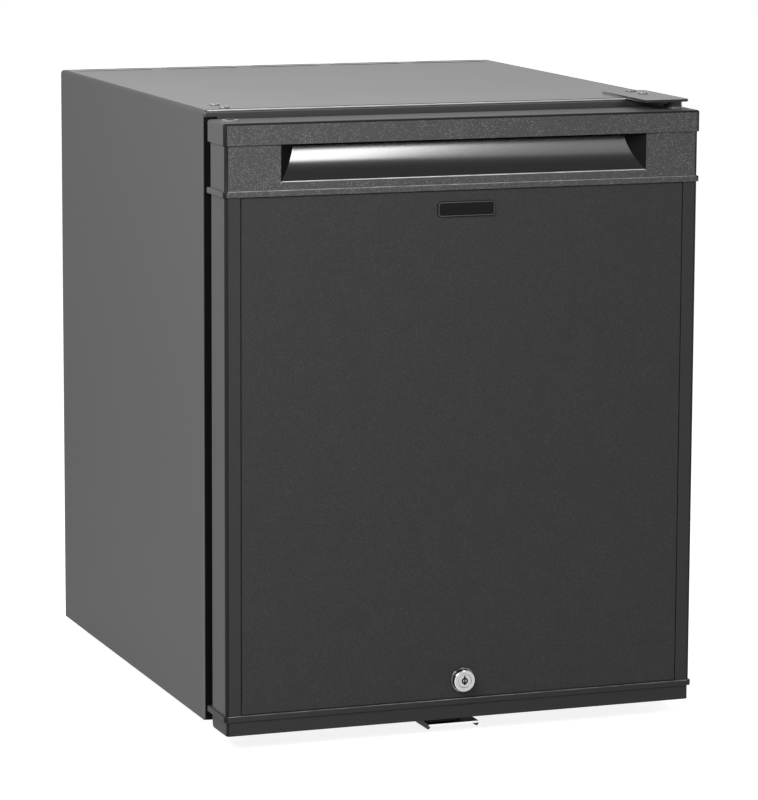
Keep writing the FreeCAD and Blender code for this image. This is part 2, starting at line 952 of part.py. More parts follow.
def bottom_hinge_plate():
    """Stepped plate under the cabinet that holds the lower pin under the door."""
    top = low_hinge_top()
    x0 = min(pin_x, half_width - hinge_screw_side_inset) - low_hinge_width / 2
    x1 = pin_x + low_hinge_width / 2
    riser = front_y - low_hinge_riser_gap - low_hinge_sheet
    arm = rounded_block(
        x0, x1, pin_y - low_hinge_nose, riser + low_hinge_sheet, top - low_hinge_sheet, top,
        AXIS_Z, low_hinge_sheet,
    )
    corner = block(
        x0, x1, riser - low_hinge_sheet, riser + low_hinge_sheet, top - low_hinge_sheet, top,
    )
    upright = block(x0, x1, riser, riser + low_hinge_sheet, top - low_hinge_sheet, base_z)
    foot = block(x0, x1, riser, front_y + hinge_plate_tail, base_z - low_hinge_sheet, base_z)
    body = join([arm, corner, upright, foot])
    pin_start = vec(pin_x, pin_y, top + cut_overrun)
    pin_hole = rod(pin_radius, low_hinge_sheet + 2 * cut_overrun, pin_start, -AXIS_Z)
    holes = screw_holes(hinge_screw_places(1), base_z - low_hinge_sheet, base_z)
    return cut_all(body, [pin_hole] + holes)


def hinge_pins():
    """Upper pin with a shoulder and lower plain pin, both riveted into their plates."""
    rivet_top = top_z + hinge_plate_sheet
    foot = door_top - pin_engagement
    upper = rod(pin_radius, rivet_top - foot, vec(pin_x, pin_y, foot), AXIS_Z)
    shoulder_base = door_top + bush_flange_sheet + washer_gap + washer_sheet
    shoulder_start = vec(pin_x, pin_y, shoulder_base)
    shoulder = rod(pin_shoulder_radius, top_z - shoulder_base, shoulder_start, AXIS_Z)
    low = low_hinge_top() - low_hinge_sheet
    lower = rod(pin_radius, door_base + pin_engagement - low, vec(pin_x, pin_y, low), AXIS_Z)
    return group([join([upper, shoulder]), lower])


def hinge_washers():
    """Washers between the door's bushes and the hinge plates."""
    upper = sleeve(
        washer_radius, pin_radius, washer_sheet,
        vec(pin_x, pin_y, door_top + bush_flange_sheet + washer_gap), AXIS_Z,
    )
    lower = sleeve(washer_radius, pin_radius, low_washer_sheet, vec(pin_x, pin_y, low_hinge_top()), AXIS_Z)
    return group([upper, lower])


def bush_space(x, upper):
    """Room that a bush's barrel takes up in its cap."""
    if upper:
        return rod(bush_radius, pin_engagement + cap_wall, vec(x, pin_y, door_top), -AXIS_Z)
    return rod(bush_radius, pin_engagement + cap_wall, vec(x, pin_y, door_base), AXIS_Z)


def hinge_bushes():
    """Four plastic bushes, so that the door can be hung from either side."""
    solids = []
    for x in (pin_x, -pin_x):
        flange = rod(bush_flange_radius, bush_flange_sheet, vec(x, pin_y, door_top), AXIS_Z)
        bore = rod(
            pin_radius + running_gap, pin_engagement + free_gap + bush_flange_sheet,
            vec(x, pin_y, door_top + bush_flange_sheet), -AXIS_Z,
        )
        solids.append(join([bush_space(x, True), flange]).cut(bore))
        bore = rod(pin_radius + running_gap, pin_engagement + free_gap, vec(x, pin_y, door_base), AXIS_Z)
        solids.append(bush_space(x, False).cut(bore))
    return group(solids)


# Door

def front_rounded(half, y0, y1, z0, z1, radius):
    """Block as wide as the door whose two upright front edges are rounded."""
    body = block(-half, half, y0, y1, z0, z1)
    return round_edges(
        body, radius,
        lambda edge: runs_along(edge, AXIS_Z) and lies_in_plane_y(edge, y0),
    )


def handle_outline(sheet):
    """Closed side outline of the finger space, grown by a sheet's thickness at the scoop."""
    scoop_base = cap_base + handle_sill
    sill = scoop_base - sheet
    roof = door_top - handle_roof_gap
    outside = door_front - band_stand - cut_overrun
    scoop_top = min(scoop_base + handle_scoop_rise, roof - sheet - free_gap)
    mid_y = door_front + handle_depth * handle_scoop_mid_depth_share + sheet / 2
    mid_z = scoop_base + handle_scoop_rise * handle_scoop_mid_height_share - sheet / 2
    back = door_front + handle_depth + sheet
    behind_lip = door_front - band_stand + handle_lip_wall
    points = [
        (outside, sill), (door_front, sill), (back, scoop_top), (back, roof),
        (behind_lip, roof), (behind_lip, band_base), (outside, band_base),
    ]
    places = [vec(0, y, z) for y, z in points]
    edges = [Part.LineSegment(places[0], places[1]).toShape()]
    edges.append(Part.Arc(places[1], vec(0, mid_y, mid_z), places[2]).toShape())
    for start, end in zip(places[2:], places[3:] + places[:1]):
        edges.append(Part.LineSegment(start, end).toShape())
    return Part.Wire(edges)


def handle_space(sheet):
    """Finger space with ends that slant inwards towards the back."""
    half = handle_width / 2
    reach = handle_depth + 2 * insert_sheet
    front = band_stand + cut_overrun
    front_step = front * handle_end_slope
    back_step = reach * handle_end_slope
    long_prism = Part.Face(handle_outline(sheet)).extrude(vec(2 * (half + front), 0, 0))
    long_prism.translate(vec(-half - front, 0, 0))
    points = [
        vec(-half - front_step, door_front - front, cap_base),
        vec(half + front_step, door_front - front, cap_base),
        vec(half - back_step, door_front + reach, cap_base),
        vec(-half + back_step, door_front + reach, cap_base),
    ]
    ends = prism(points, vec(0, 0, cap_height))
    return long_prism.common(ends)


def handle_insert():
    """Gloss scoop that lines the back of the handle recess."""
    body = handle_space(insert_sheet).cut(handle_space(0))
    room = block(
        -handle_width, handle_width, door_front, door_front + handle_depth + 2 * insert_sheet,
        cap_base, door_top,
    )
    return largest(body.common(room))


def largest(shape):
    """The largest solid of a shape."""
    return max(shape.Solids, key=lambda solid: solid.Volume)


def bush_boss(x, upper):
    """Boss in a cap that holds a bush."""
    length = pin_engagement + 2 * cap_wall
    if upper:
        return rod(bush_radius + cap_wall, length, vec(x, pin_y, door_top), -AXIS_Z)
    return rod(bush_radius + cap_wall, length, vec(x, pin_y, door_base), AXIS_Z)


def door_top_cap():
    """Moulded cap with a proud upper band, a rib along its lower edge and the handle recess."""
    middle = front_rounded(
        door_half, door_front, door_back + cap_rear_step, cap_base, door_top - cap_edge_round,
        door_corner_round,
    )
    band = front_rounded(
        door_half + band_stand, door_front - band_stand, door_rear + band_rear_reach,
        band_base, door_top, door_corner_round,
    )
    band = round_edges(band, cap_edge_round, lambda edge: lies_at_height(edge, door_top))
    rib = front_rounded(
        door_half + rib_stand, door_front - rib_front_stand, door_rear + rib_rear_reach,
        cap_base, cap_base + rib_band, door_corner_round,
    )
    rib = round_edges(rib, rib_front_stand, lambda edge: lies_at_height(edge, cap_base + rib_band))
    body = join([middle, band, rib])
    room = block(
        -door_half + cap_wall, door_half - cap_wall, door_front + cap_wall,
        door_rear + rib_rear_reach + cut_overrun, cap_base - cut_overrun, door_top - cap_wall,
    )
    shell = body.cut(room)
    rear_wall = block(
        -door_half + cap_wall / 2, door_half - cap_wall / 2, door_back, door_rear + liner_sheet,
        cap_base, door_top - cap_wall / 2,
    )
    liner_room = block(
        -door_half + door_liner_inset, door_half - door_liner_inset, door_back - cut_overrun,
        door_rear + rib_rear_reach, cap_base - cut_overrun, door_top - door_liner_edge,
    )
    rear_edge = rear_wall.cut(liner_room)
    half = handle_width / 2 + pocket_wall
    pocket = block(
        -half, half, door_front + cap_wall / 2, door_front + handle_depth + insert_sheet + pocket_wall,
        cap_base + handle_sill - insert_sheet - pocket_wall, door_top - cap_wall / 2,
    )
    tongue = block(
        -door_half + profile_width + profile_tongue, door_half - profile_width - profile_tongue,
        panel_rear, panel_rear + cap_wall, cap_base - cap_tongue, cap_base + cap_wall,
    )
    sill = block(
        -door_half + cap_wall / 2, door_half - cap_wall / 2, door_front + cap_wall / 2,
        panel_rear + cap_wall, cap_base, cap_base + cap_wall,
    )
    pieces = [shell, rear_edge, pocket, tongue, sill]
    pieces += [bush_boss(x, True) for x in (pin_x, -pin_x)]
    body = join(pieces)
    tools = [handle_space(insert_sheet)] + [bush_space(x, True) for x in (pin_x, -pin_x)]
    return cut_all(body, tools)


def cam_reach():
    """Length of the cam from the lock's axis to its tip, from the lock down through the strike."""
    return lock_z - strike_z + cam_dip


def cam_slot(z0, z1):
    """Slot that the cam swings down through, wider towards the left, where the cam comes from."""
    tip_radius = cam_width / 2
    arm = cam_reach() - tip_radius
    drop = max(lock_z - z1 - tip_radius, 0)
    sideways = math.sqrt(max(arm * arm - drop * drop, 0))
    half = cam_sheet / 2 + cam_slot_margin
    middle = cam_y + cam_sheet / 2
    left = -sideways - tip_radius - cam_slot_margin
    return block(left, tip_radius + cam_slot_margin, middle - half, middle + half, z0, z1)


def door_bottom_cap():
    """Tray that closes the door's foot, with a rib along its upper edge and the cam's slot."""
    half = door_half - foot_cap_side_step
    rear = door_rear + foot_cap_rear_step - liner_sheet
    tray = front_rounded(half, door_front, rear, door_base, foot_cap_top, door_corner_round)
    tray = round_edges(
        tray, foot_cap_round,
        lambda edge: lies_at_height(edge, door_base) and lies_in_plane_y(edge, rear),
    )
    rib = front_rounded(
        door_half + rib_stand, door_front - rib_front_stand, door_rear + foot_rib_rear_reach,
        foot_cap_top - rib_band, foot_cap_top, door_corner_round,
    )
    rib = round_edges(rib, rib_front_stand, lambda edge: lies_at_height(edge, foot_cap_top))
    body = join([tray, rib])
    room = block(
        -half + cap_wall, half - cap_wall, door_front + cap_wall, door_back - cap_wall,
        door_base + cap_wall, foot_cap_top + cut_overrun,
    )
    shell = body.cut(room)
    tongue = block(
        -door_half + profile_width + profile_tongue, door_half - profile_width - profile_tongue,
        panel_rear, panel_rear + cap_wall, foot_cap_top - cap_wall, foot_cap_top + cap_tongue,
    )
    sill = block(
        -half + cap_wall / 2, half - cap_wall / 2, door_front + cap_wall / 2, panel_rear + cap_wall,
        foot_cap_top - cap_wall, foot_cap_top,
    )
    pieces = [shell, tongue, sill] + [bush_boss(x, False) for x in (pin_x, -pin_x)]
    body = join(pieces)
    slot = cam_slot(door_base - cut_overrun, foot_cap_top + cap_tongue + cut_overrun)
    lock_room = rod(pocket_radius, door_body, vec(0, panel_rear - cut_overrun, lock_z), AXIS_Y)
    return cut_all(body, [slot, lock_room] + [bush_space(x, False) for x in (pin_x, -pin_x)])


def door_profile():
    """Right side profile: a channel with a rounded front edge and a tongue behind the front panel."""
    inner = door_half - profile_width
    outer = block(inner, door_half, door_front, door_back, foot_cap_top, cap_base)
    outer = round_edges(
        outer, door_corner_round,
        lambda edge: runs_along(edge, AXIS_Z) and edge.BoundBox.XMin > door_half - tolerance
        and lies_in_plane_y(edge, door_front),
    )
    room = block(
        inner - cut_overrun, door_half - profile_wall, panel_rear + profile_wall,
        door_back - profile_wall, foot_cap_top - cut_overrun, cap_base + cut_overrun,
    )
    tongue = block(
        inner - profile_tongue, inner + profile_wall, panel_rear, panel_rear + profile_wall,
        foot_cap_top, cap_base,
    )
    return join([outer.cut(room), tongue])


def door_front_panel():
    """Flat front sheet between the profiles and the caps."""
    half = door_half - profile_width - panel_groove
    y0 = door_front + front_panel_recess
    sheet = block(
        -half, half, y0, y0 + front_panel_sheet, foot_cap_top + groove_height, cap_base - groove_height,
    )
    hole_start = vec(0, y0 - cut_overrun, lock_z)
    return sheet.cut(rod(lock_barrel_radius, front_panel_sheet + 2 * cut_overrun, hole_start, AXIS_Y))


def dyke_ring(wall):
    """Raised ring on the back of the door that reaches into the cabinet, thinned by a wall."""
    half = inner_half - dyke_side_inset - wall
    low = inner_base + dyke_end_inset + wall
    high = inner_top - dyke_end_inset - wall
    top = front_y + dyke_reach - gasket_gap - wall
    outer = rounded_block(-half, half, door_back, top, low, high, AXIS_Y, dyke_round)
    thick = dyke_width - 2 * wall
    inner = rounded_block(
        -half + thick, half - thick, door_back - cut_overrun, top + cut_overrun,
        low + thick, high - thick, AXIS_Y, dyke_round,
    )
    return outer.cut(inner)


def bin_bounds(index):
    """Lowest and highest place of a door bin."""
    room_base = inner_base + dyke_end_inset + dyke_width
    room_height = inner_height - 2 * (dyke_end_inset + dyke_width)
    low = room_base + room_height * bin_level_shares[index]
    return low, low + room_height * bin_height_shares[index]


def bin_half():
    """Half width of a door bin, which fits between the upright dykes."""
    return inner_half - dyke_side_inset - dyke_width - bin_side_gap


def door_liner():
    """White back of the door, with the raised ring and a ledge at each end of the bins."""
    half = door_half - door_liner_inset
    sheet = block(-half, half, door_back, door_rear, foot_cap_top, door_top - door_liner_edge)
    ledges = []
    for index in range(len(bin_level_shares)):
        low, _ = bin_bounds(index)
        edge_x = bin_half() + bin_side_gap
        ledge = block(
            edge_x - ledge_reach, edge_x + liner_sheet / 2, door_rear - liner_sheet / 2,
            door_rear + ledge_length, low - ledge_height, low,
        )
        ledges += [ledge, mirrored(ledge)]
    body = join([sheet, dyke_ring(0)] + ledges)
    return body.cut(dyke_ring(liner_sheet))


def lock_pocket():
    """Room in the door's foam for the lock's barrel and the swing of its cam."""
    depth = cam_y + cam_sheet + cam_screw_head_height + cam_pocket_margin - panel_rear
    barrel = rod(pocket_radius, depth, vec(0, panel_rear, lock_z), AXIS_Y)
    reach = cam_reach() + cam_pocket_margin
    side = cam_width / 2 + cam_pocket_margin
    half = cam_sheet / 2 + cam_slot_margin
    middle = cam_y + cam_sheet / 2
    swing = block(-reach, side, middle - half, middle + half, door_base + cap_wall, lock_z + side)
    return barrel.fuse(swing)


def door_foam():
    """Foam that fills the door."""
    inside = door_half - foot_cap_side_step - cap_wall
    fill = block(
        -door_half + profile_wall, door_half - profile_wall, panel_rear, door_back,
        foot_cap_top, cap_base,
    )
    low = block(
        -inside, inside, door_front + cap_wall, door_back - cap_wall,
        door_base + cap_wall, foot_cap_top,
    )
    high = block(
        -door_half + cap_wall, door_half - cap_wall, door_front + cap_wall, door_back,
        cap_base, door_top - cap_wall,
    )
    body = join([fill, low, high, dyke_ring(liner_sheet)])
    profile = door_profile()
    tools = [profile, mirrored(profile), door_top_cap(), door_bottom_cap(), handle_space(insert_sheet)]
    tools += [lock_pocket()]
    tools += [bush_space(x, upper) for x in (pin_x, -pin_x) for upper in (True, False)]
    return largest(cut_all(body, tools))


def gasket_ring(inset, y0, y1, radius):
    """Ring as wide as the gasket, thinned by an inset on all four sides."""
    half = half_width - gasket_side_inset - inset
    low = foot_cap_top + gasket_end_gap + inset
    high = door_top - door_liner_edge - gasket_end_gap - inset
    thick = gasket_width - 2 * inset
    outer = rounded_block(-half, half, y0, y1, low, high, AXIS_Y, radius)
    inner = rounded_block(
        -half + thick, half - thick, y0 - cut_overrun, y1 + cut_overrun, low + thick, high - thick,
        AXIS_Y, radius / 2,
    )
    return outer.cut(inner)


def magnet_bars():
    """Four straight magnet strips inside the gasket's front edge."""
    edge = (gasket_width - magnet_width) / 2
    half = half_width - gasket_side_inset - edge
    low = foot_cap_top + gasket_end_gap + edge
    high = door_top - door_liner_edge - gasket_end_gap - edge
    y1 = front_y - free_gap - magnet_skin
    y0 = y1 - magnet_thickness
    upright = block(half - magnet_width, half, y0, y1, low, high)
    across = half - magnet_width - free_gap
    bottom = block(-across, across, y0, y1, low, low + magnet_width)
    top = block(-across, across, y0, y1, high - magnet_width, high)
    return group([upright, mirrored(upright), bottom, top])


def door_gasket():
    """Soft seal with a waist, a rounded face and the magnet strips inside."""
    y0 = door_rear
    y1 = front_y - free_gap
    waist = y1 - magnet_thickness - 2 * magnet_skin
    root = y0 + 2 * magnet_skin
    face = gasket_ring(0, waist, y1, gasket_round)
    web = gasket_ring(2 * magnet_skin, root - magnet_skin, waist + magnet_skin, gasket_round)
    foot = gasket_ring(0, y0, root, gasket_round)
    return join([face, web, foot]).cut(magnet_bars())


def badge_plate():
    """Plain plate with rounded corners on the front panel."""
    y1 = door_front + front_panel_recess
    high = cap_base - badge_drop
    plate = rounded_block(
        -badge_width / 2, badge_width / 2, y1 - badge_sheet, y1,
        high - badge_height, high, AXIS_Y, badge_round,
    )
    front = y1 - badge_sheet
    return round_edges(plate, badge_sheet * badge_edge_share, lambda edge: lies_in_plane_y(edge, front))


def door_bin(index):
    """Open tray that rests on the ledges between the upright dykes."""
    low, high = bin_bounds(index)
    half = bin_half()
    y0 = door_rear + free_gap
    y1 = front_y + bin_reach
    outer = block(-half, half, y0, y1, low, high)
    outer = round_edges(
        outer, bin_round,
        lambda edge: runs_along(edge, AXIS_Z) and lies_in_plane_y(edge, y1),
    )
    room = block(
        -half + bin_wall, half - bin_wall, y0 + bin_wall, y1 - bin_wall, low + bin_wall, high + cut_overrun,
    )
    room = round_edges(
        room, bin_round - bin_wall,
        lambda edge: runs_along(edge, AXIS_Z) and lies_in_plane_y(edge, y1 - bin_wall),
    )
    rail_y = y1 - 2 * bin_round
    pieces = [outer.cut(room)]
    for side in (1, -1):
        x = side * (half - 2 * rail_radius)
        pieces.append(block(
            x - 2 * rail_radius, x + 2 * rail_radius, rail_y - 2 * rail_radius,
            rail_y + 2 * rail_radius, high - 2 * rail_seat, high,
        ))
    return join(pieces).cut(bin_rail(index))


def bin_rail(index):
    """Bent rod across a bin, with its ends plugged into the bin's corner bosses."""
    _, high = bin_bounds(index)
    half = bin_half() - 2 * rail_radius
    y = front_y + bin_reach - 2 * bin_round
    points = [
        vec(-half, y, high - rail_seat), vec(-half, y, high + rail_rise),
        vec(half, y, high + rail_rise), vec(half, y, high - rail_seat),
    ]
    return tube(points, rail_radius, rail_rise / 2)


# Lock

def lock_housing():
    """Chromed barrel with a flange and a raised face, bored for the plug."""
    face_y = door_front - lock_stand
    flange_y = door_front + front_panel_recess - lock_flange_sheet
    front = vec(0, face_y, lock_z)
    face = rod(lock_face_radius, flange_y - face_y + lock_flange_sheet / 2, front, AXIS_Y)
    face = round_edges(face, lock_face_round, lambda edge: rim_at(edge, front, AXIS_Y))
    flange = rod(lock_flange_radius, lock_flange_sheet, vec(0, flange_y, lock_z), AXIS_Y)
    rim = vec(0, flange_y, lock_z)
    flange = round_edges(flange, lock_flange_round, lambda edge: rim_at(edge, rim, AXIS_Y))
    barrel = rod(
        lock_barrel_radius, lock_barrel_length + front_panel_sheet,
        vec(0, panel_rear - front_panel_sheet, lock_z), AXIS_Y,
    )
    body = join([face, flange, barrel])
    length = panel_rear + lock_barrel_length - face_y + 2 * cut_overrun
    bore = rod(plug_radius + running_gap, length, vec(0, face_y - cut_overrun, lock_z), AXIS_Y)
    return body.cut(bore)


def lock_nut():
    """Six-sided nut that clamps the lock to the front panel."""
    radius = nut_across_flats / 2 / math.cos(math.pi / nut_sides)
    points = []
    for index in range(nut_sides):
        turn = 2 * math.pi * index / nut_sides
        points.append(vec(math.cos(turn) * radius, panel_rear, lock_z + math.sin(turn) * radius))
    body = prism(points, vec(0, nut_height, 0))
    bore_start = vec(0, panel_rear - cut_overrun, lock_z)
    return body.cut(rod(lock_barrel_radius, nut_height + 2 * cut_overrun, bore_start, AXIS_Y))


def lock_plug():
    """Turning plug with a keyhole in its face and a threaded hole for the cam screw."""
    face_y = door_front - lock_stand + plug_stand
    front = vec(0, face_y, lock_z)
    body = rod(plug_radius, cam_y - face_y, front, AXIS_Y)
    body = round_edges(body, plug_edge_round, lambda edge: rim_at(edge, front, AXIS_Y))
    keyhole = block(
        -keyhole_width / 2, keyhole_width / 2, face_y - cut_overrun, face_y + keyhole_depth,
        lock_z - keyhole_height / 2, lock_z + keyhole_height / 2,
    )
    thread = rod(cam_screw_radius, cam_screw_depth, vec(0, cam_y, lock_z), -AXIS_Y)
    return cut_all(body, [keyhole, thread])


def lock_cam():
    """Flat cam, drawn unlocked, so it points to the left."""
    tip = cam_width / 2
    arm = cam_reach() - tip
    bar = block(-arm, 0, cam_y, cam_y + cam_sheet, lock_z - tip, lock_z + tip)
    end = rod(tip, cam_sheet, vec(-arm, cam_y, lock_z), AXIS_Y)
    root = rod(tip, cam_sheet, vec(0, cam_y, lock_z), AXIS_Y)
    hole_start = vec(0, cam_y - cut_overrun, lock_z)
    hole = rod(cam_screw_radius, cam_sheet + 2 * cut_overrun, hole_start, AXIS_Y)
    return join([bar, end, root]).cut(hole)


def cam_screw():
    """Screw that holds the cam to the plug."""
    seat = vec(0, cam_y + cam_sheet, lock_z)
    head = rod(cam_screw_head_radius, cam_screw_head_height, seat, AXIS_Y)
    shank = rod(cam_screw_radius, cam_sheet + cam_screw_depth, seat, -AXIS_Y)
    return join([head, shank])


# Cooling unit

def pipe_height():
    """Height of the evaporator loop, at the middle of its plate."""
    return inner_top - evaporator_drop - evaporator_height / 2


def pipe_holes():
    """Holes for the evaporator loop through the rear wall."""
    holes = []
    for side in (1, -1):
        start = vec(side * evaporator_pipe_spread, inner_rear - cut_overrun, pipe_height())
        length = bay_y - inner_rear + 2 * cut_overrun
        holes.append(rod(evaporator_pipe_radius + free_gap, length, start, AXIS_Y))
    return holes


def evaporator_loop():
    """Pipe from the bay through the rear wall, along the evaporator plate and back."""
    y = inner_rear - free_gap - evaporator_pipe_radius
    z = pipe_height()
    spread = evaporator_pipe_spread
    points = [
        vec(-spread, bay_mid_y, z), vec(-spread, y, z), vec(spread, y, z), vec(spread, bay_mid_y, z),
    ]
    return tube(points, evaporator_pipe_radius, evaporator_pipe_bend)


def boiler_x():
    """Sideways place of the boiler pipe."""
    return half_width - boiler_side_inset


def boiler_head():
    """Height at which the boiler pipe ends."""
    return top_z - boiler_head_drop


def boiler_cover_top():
    """Height of the boiler cover's top face."""
    return boiler_head() - boiler_cover_drop


def coil_right():
    """Right end of the absorber coil."""
    return boiler_x() - boiler_cover_width / 2 - coil_pipe_radius - unit_gap


def unit_pipework():
    """Sealed steel pipes: boiler pipe, condenser run, evaporator loop and feed to the tank."""
    x = boiler_x()
    y = bay_mid_y
    head = boiler_head()
    left = -evaporator_pipe_spread
    boiler_foot = vec(x, y, base_z + boiler_foot_height)
    boiler = rod(boiler_pipe_radius, head - boiler_foot.z, boiler_foot, AXIS_Z)
    condenser = tube(
        [
            vec(x, y, head - boiler_pipe_radius),
            vec(x, y, head + 2 * condenser_bend),
            vec(left, y, head + 2 * condenser_bend - condenser_fall),
            vec(left, y, pipe_height()),
        ],
        condenser_pipe_radius, condenser_bend,
    )
    return join([boiler, condenser, evaporator_loop(), feed_pipe(), return_pipe()])


def feed_pipe():
    """Pipe from the solution tank to the foot of the boiler pipe."""
    x = boiler_x()
    z = base_z + tank_height
    start = vec(tank_right() - tank_dome, bay_mid_y, z)
    top = base_z + boiler_foot_height + boiler_pipe_radius
    return tube([start, vec(x, bay_mid_y, z), vec(x, bay_mid_y, top)], feed_pipe_radius, feed_pipe_bend)


def coil_top():
    """Height at which the absorber coil's upright end stops."""
    return pipe_height() - coil_drop


def coil_pitch():
    """Height between two runs of the absorber coil."""
    return (coil_top() - base_z - coil_base_height) / coil_runs


def return_pipe():
    """Pipe from the evaporator loop down to the upright end of the absorber coil."""
    start = vec(evaporator_pipe_spread, bay_mid_y, coil_top())
    return rod(evaporator_pipe_radius, pipe_height() - coil_top(), start, AXIS_Z)


def tank_left():
    """Left end of the solution tank."""
    return -half_width + tank_left_inset


def tank_right():
    """Right end of the solution tank."""
    return boiler_x() - boiler_cover_width / 2 - tank_dome


def solution_tank():
    """Closed cylinder at the foot of the coil."""
    z = base_z + tank_height
    length = tank_right() - tank_left()
    body = rod(tank_radius, length, vec(tank_left(), bay_mid_y, z), AXIS_X)
    body = round_edges(body, tank_dome, lambda edge: isinstance(edge.Curve, Part.Circle))
    return body.cut(feed_pipe())


def absorber_coil():
    """Serpentine pipe that rises from the tank and ends under the return pipe."""
    left = -half_width + coil_left_inset
    right = coil_right()
    foot_x = tank_right() - tank_dome - coil_pipe_radius
    points = [vec(foot_x, bay_mid_y, base_z + tank_height)]
    for index in range(coil_runs):
        z = base_z + coil_base_height + index * coil_pitch()
        ends = [left, right] if index % 2 else [right, left]
        if index == 0:
            ends[0] = foot_x
        if index == coil_runs - 1:
            ends[1] = evaporator_pipe_spread if index % 2 else left
        points += [vec(ends[0], bay_mid_y, z), vec(ends[1], bay_mid_y, z)]
    points.append(vec(points[-1].x, bay_mid_y, coil_top()))
    body = tube(points, coil_pipe_radius, coil_pitch() * coil_bend_share)
    return body.cut(solution_tank())


def condenser_fins(pipework):
    """Square fins on the condenser run."""
    solids = []
    half = condenser_fin_size / 2
    length = boiler_x() + evaporator_pipe_spread
    run = condenser_fall / length
    pitch = (length - 2 * condenser_fin_end) / (condenser_fin_count - 1)
    z_middle = boiler_head() + 2 * condenser_bend - condenser_fall / 2
    x_middle = (boiler_x() - evaporator_pipe_spread) / 2
    for index in range(condenser_fin_count):
        x = x_middle + (index - (condenser_fin_count - 1) / 2) * pitch
        z = z_middle + (x - x_middle) * run
        fin = block(
            x, x + condenser_fin_sheet, bay_mid_y - half, bay_mid_y + half, z - half, z + half,
        )
        solids.append(fin.cut(pipework))
    return group(solids)


def boiler_cover(pipework):
    """Sheet box round the hot part of the boiler pipe."""
    x = boiler_x()
    half_x = boiler_cover_width / 2
    half_y = boiler_cover_depth / 2
    low = base_z + boiler_cover_base
    high = boiler_cover_top()
    outer = rounded_block(
        x - half_x, x + half_x, bay_mid_y - half_y, bay_mid_y + half_y, low, high, AXIS_Z,
        boiler_cover_round,
    )
    room = rounded_block(
        x - half_x + boiler_cover_sheet, x + half_x - boiler_cover_sheet,
        bay_mid_y - half_y + boiler_cover_sheet, bay_mid_y + half_y - boiler_cover_sheet,
        low + boiler_cover_sheet, high - boiler_cover_sheet, AXIS_Z,
        boiler_cover_round - boiler_cover_sheet,
    )
    return cut_all(outer, [room, pipework, heater_cartridge()] + heater_lead_list())


def boiler_insulation(pipework):
    """Wool that fills the boiler cover."""
    x = boiler_x()
    half_x = boiler_cover_width / 2 - boiler_cover_sheet
    half_y = boiler_cover_depth / 2 - boiler_cover_sheet
    low = base_z + boiler_cover_base + boiler_cover_sheet
    high = boiler_cover_top() - boiler_cover_sheet
    body = rounded_block(
        x - half_x, x + half_x, bay_mid_y - half_y, bay_mid_y + half_y, low, high, AXIS_Z,
        boiler_cover_round - boiler_cover_sheet,
    )
    return cut_all(body, [pipework, heater_cartridge()] + heater_lead_list())


def heater_y():
    """Place of the heater along Y, behind the boiler pipe."""
    return bay_mid_y + boiler_pipe_radius + free_gap + heater_radius


def heater_cartridge():
    """Electric heater that stands behind the boiler pipe inside the wool."""
    low = base_z + boiler_cover_base - heater_tail
    length = boiler_cover_top() - heater_top_gap - low
    return rod(heater_radius, length, vec(boiler_x(), heater_y(), low), AXIS_Z)


def heater_lead_list():
    """Two short wires from the heater down to the control box."""
    low = base_z + panel_sheet + control_height
    top = base_z + boiler_cover_base - heater_tail
    leads = []
    for side in (1, -1):
        x = boiler_x() + side * lead_spread / 2
        leads.append(rod(lead_radius, top - low, vec(x, heater_y(), low), AXIS_Z))
    return leads


def unit_straps():
    """Two flat bars that hold the coil to the back panel, and two cradles under the tank."""
    solids = []
    middle_x = (-half_width + coil_left_inset + coil_right()) / 2
    low = base_z + strap_base_height
    high = coil_top() + strap_top_rise
    face = bay_mid_y - coil_pipe_radius
    for side in (1, -1):
        x = middle_x + side * strap_spread / 2
        bar = block(x - strap_width / 2, x + strap_width / 2, face - strap_sheet, face, low, high)
        pieces = [bar]
        for z in (low, high - strap_sheet):
            pieces.append(block(
                x - strap_width / 2, x + strap_width / 2, bay_y, face, z, z + strap_sheet,
            ))
        solids.append(join(pieces))
        cradle = block(
            x - strap_width / 2, x + strap_width / 2, bay_mid_y - cradle_depth / 2,
            bay_mid_y + cradle_depth / 2, base_z + panel_sheet,
            base_z + tank_height - tank_radius + cradle_rise,
        )
        solids.append(cradle.cut(solution_tank()))
    return group(solids)


def control_bounds():
    """Corners of the control box on the base pan."""
    x1 = half_width - control_side_inset
    y1 = rear_y - control_rear_inset
    z0 = base_z + panel_sheet
    return x1 - control_width, x1, y1 - control_depth, y1, z0, z0 + control_height


def control_box():
    """Open-backed box for the wiring, with a hole for the gland."""
    x0, x1, y0, y1, z0, z1 = control_bounds()
    outer = rounded_block(x0, x1, y0, y1 - control_cover_sheet, z0, z1, AXIS_Y, control_round)
    room = rounded_block(
        x0 + control_sheet, x1 - control_sheet, y0 + control_sheet, y1 + cut_overrun,
        z0 + control_sheet, z1 - control_sheet, AXIS_Y, control_round - control_sheet / 2,
    )
    return outer.cut(room)


def gland_place():
    """Centre of the gland on the control box's cover."""
    x0, x1, _, y1, z0, z1 = control_bounds()
    return vec((x0 + x1) / 2, y1, (z0 + z1) / 2)


def control_box_cover():
    """Lid of the control box, which carries the gland."""
    x0, x1, _, y1, z0, z1 = control_bounds()
    lid = rounded_block(x0, x1, y1 - control_cover_sheet, y1, z0, z1, AXIS_Y, control_round)
    place = gland_place() - AXIS_Y * (control_cover_sheet + cut_overrun)
    return lid.cut(rod(gland_radius, control_cover_sheet + 2 * cut_overrun, place, AXIS_Y))


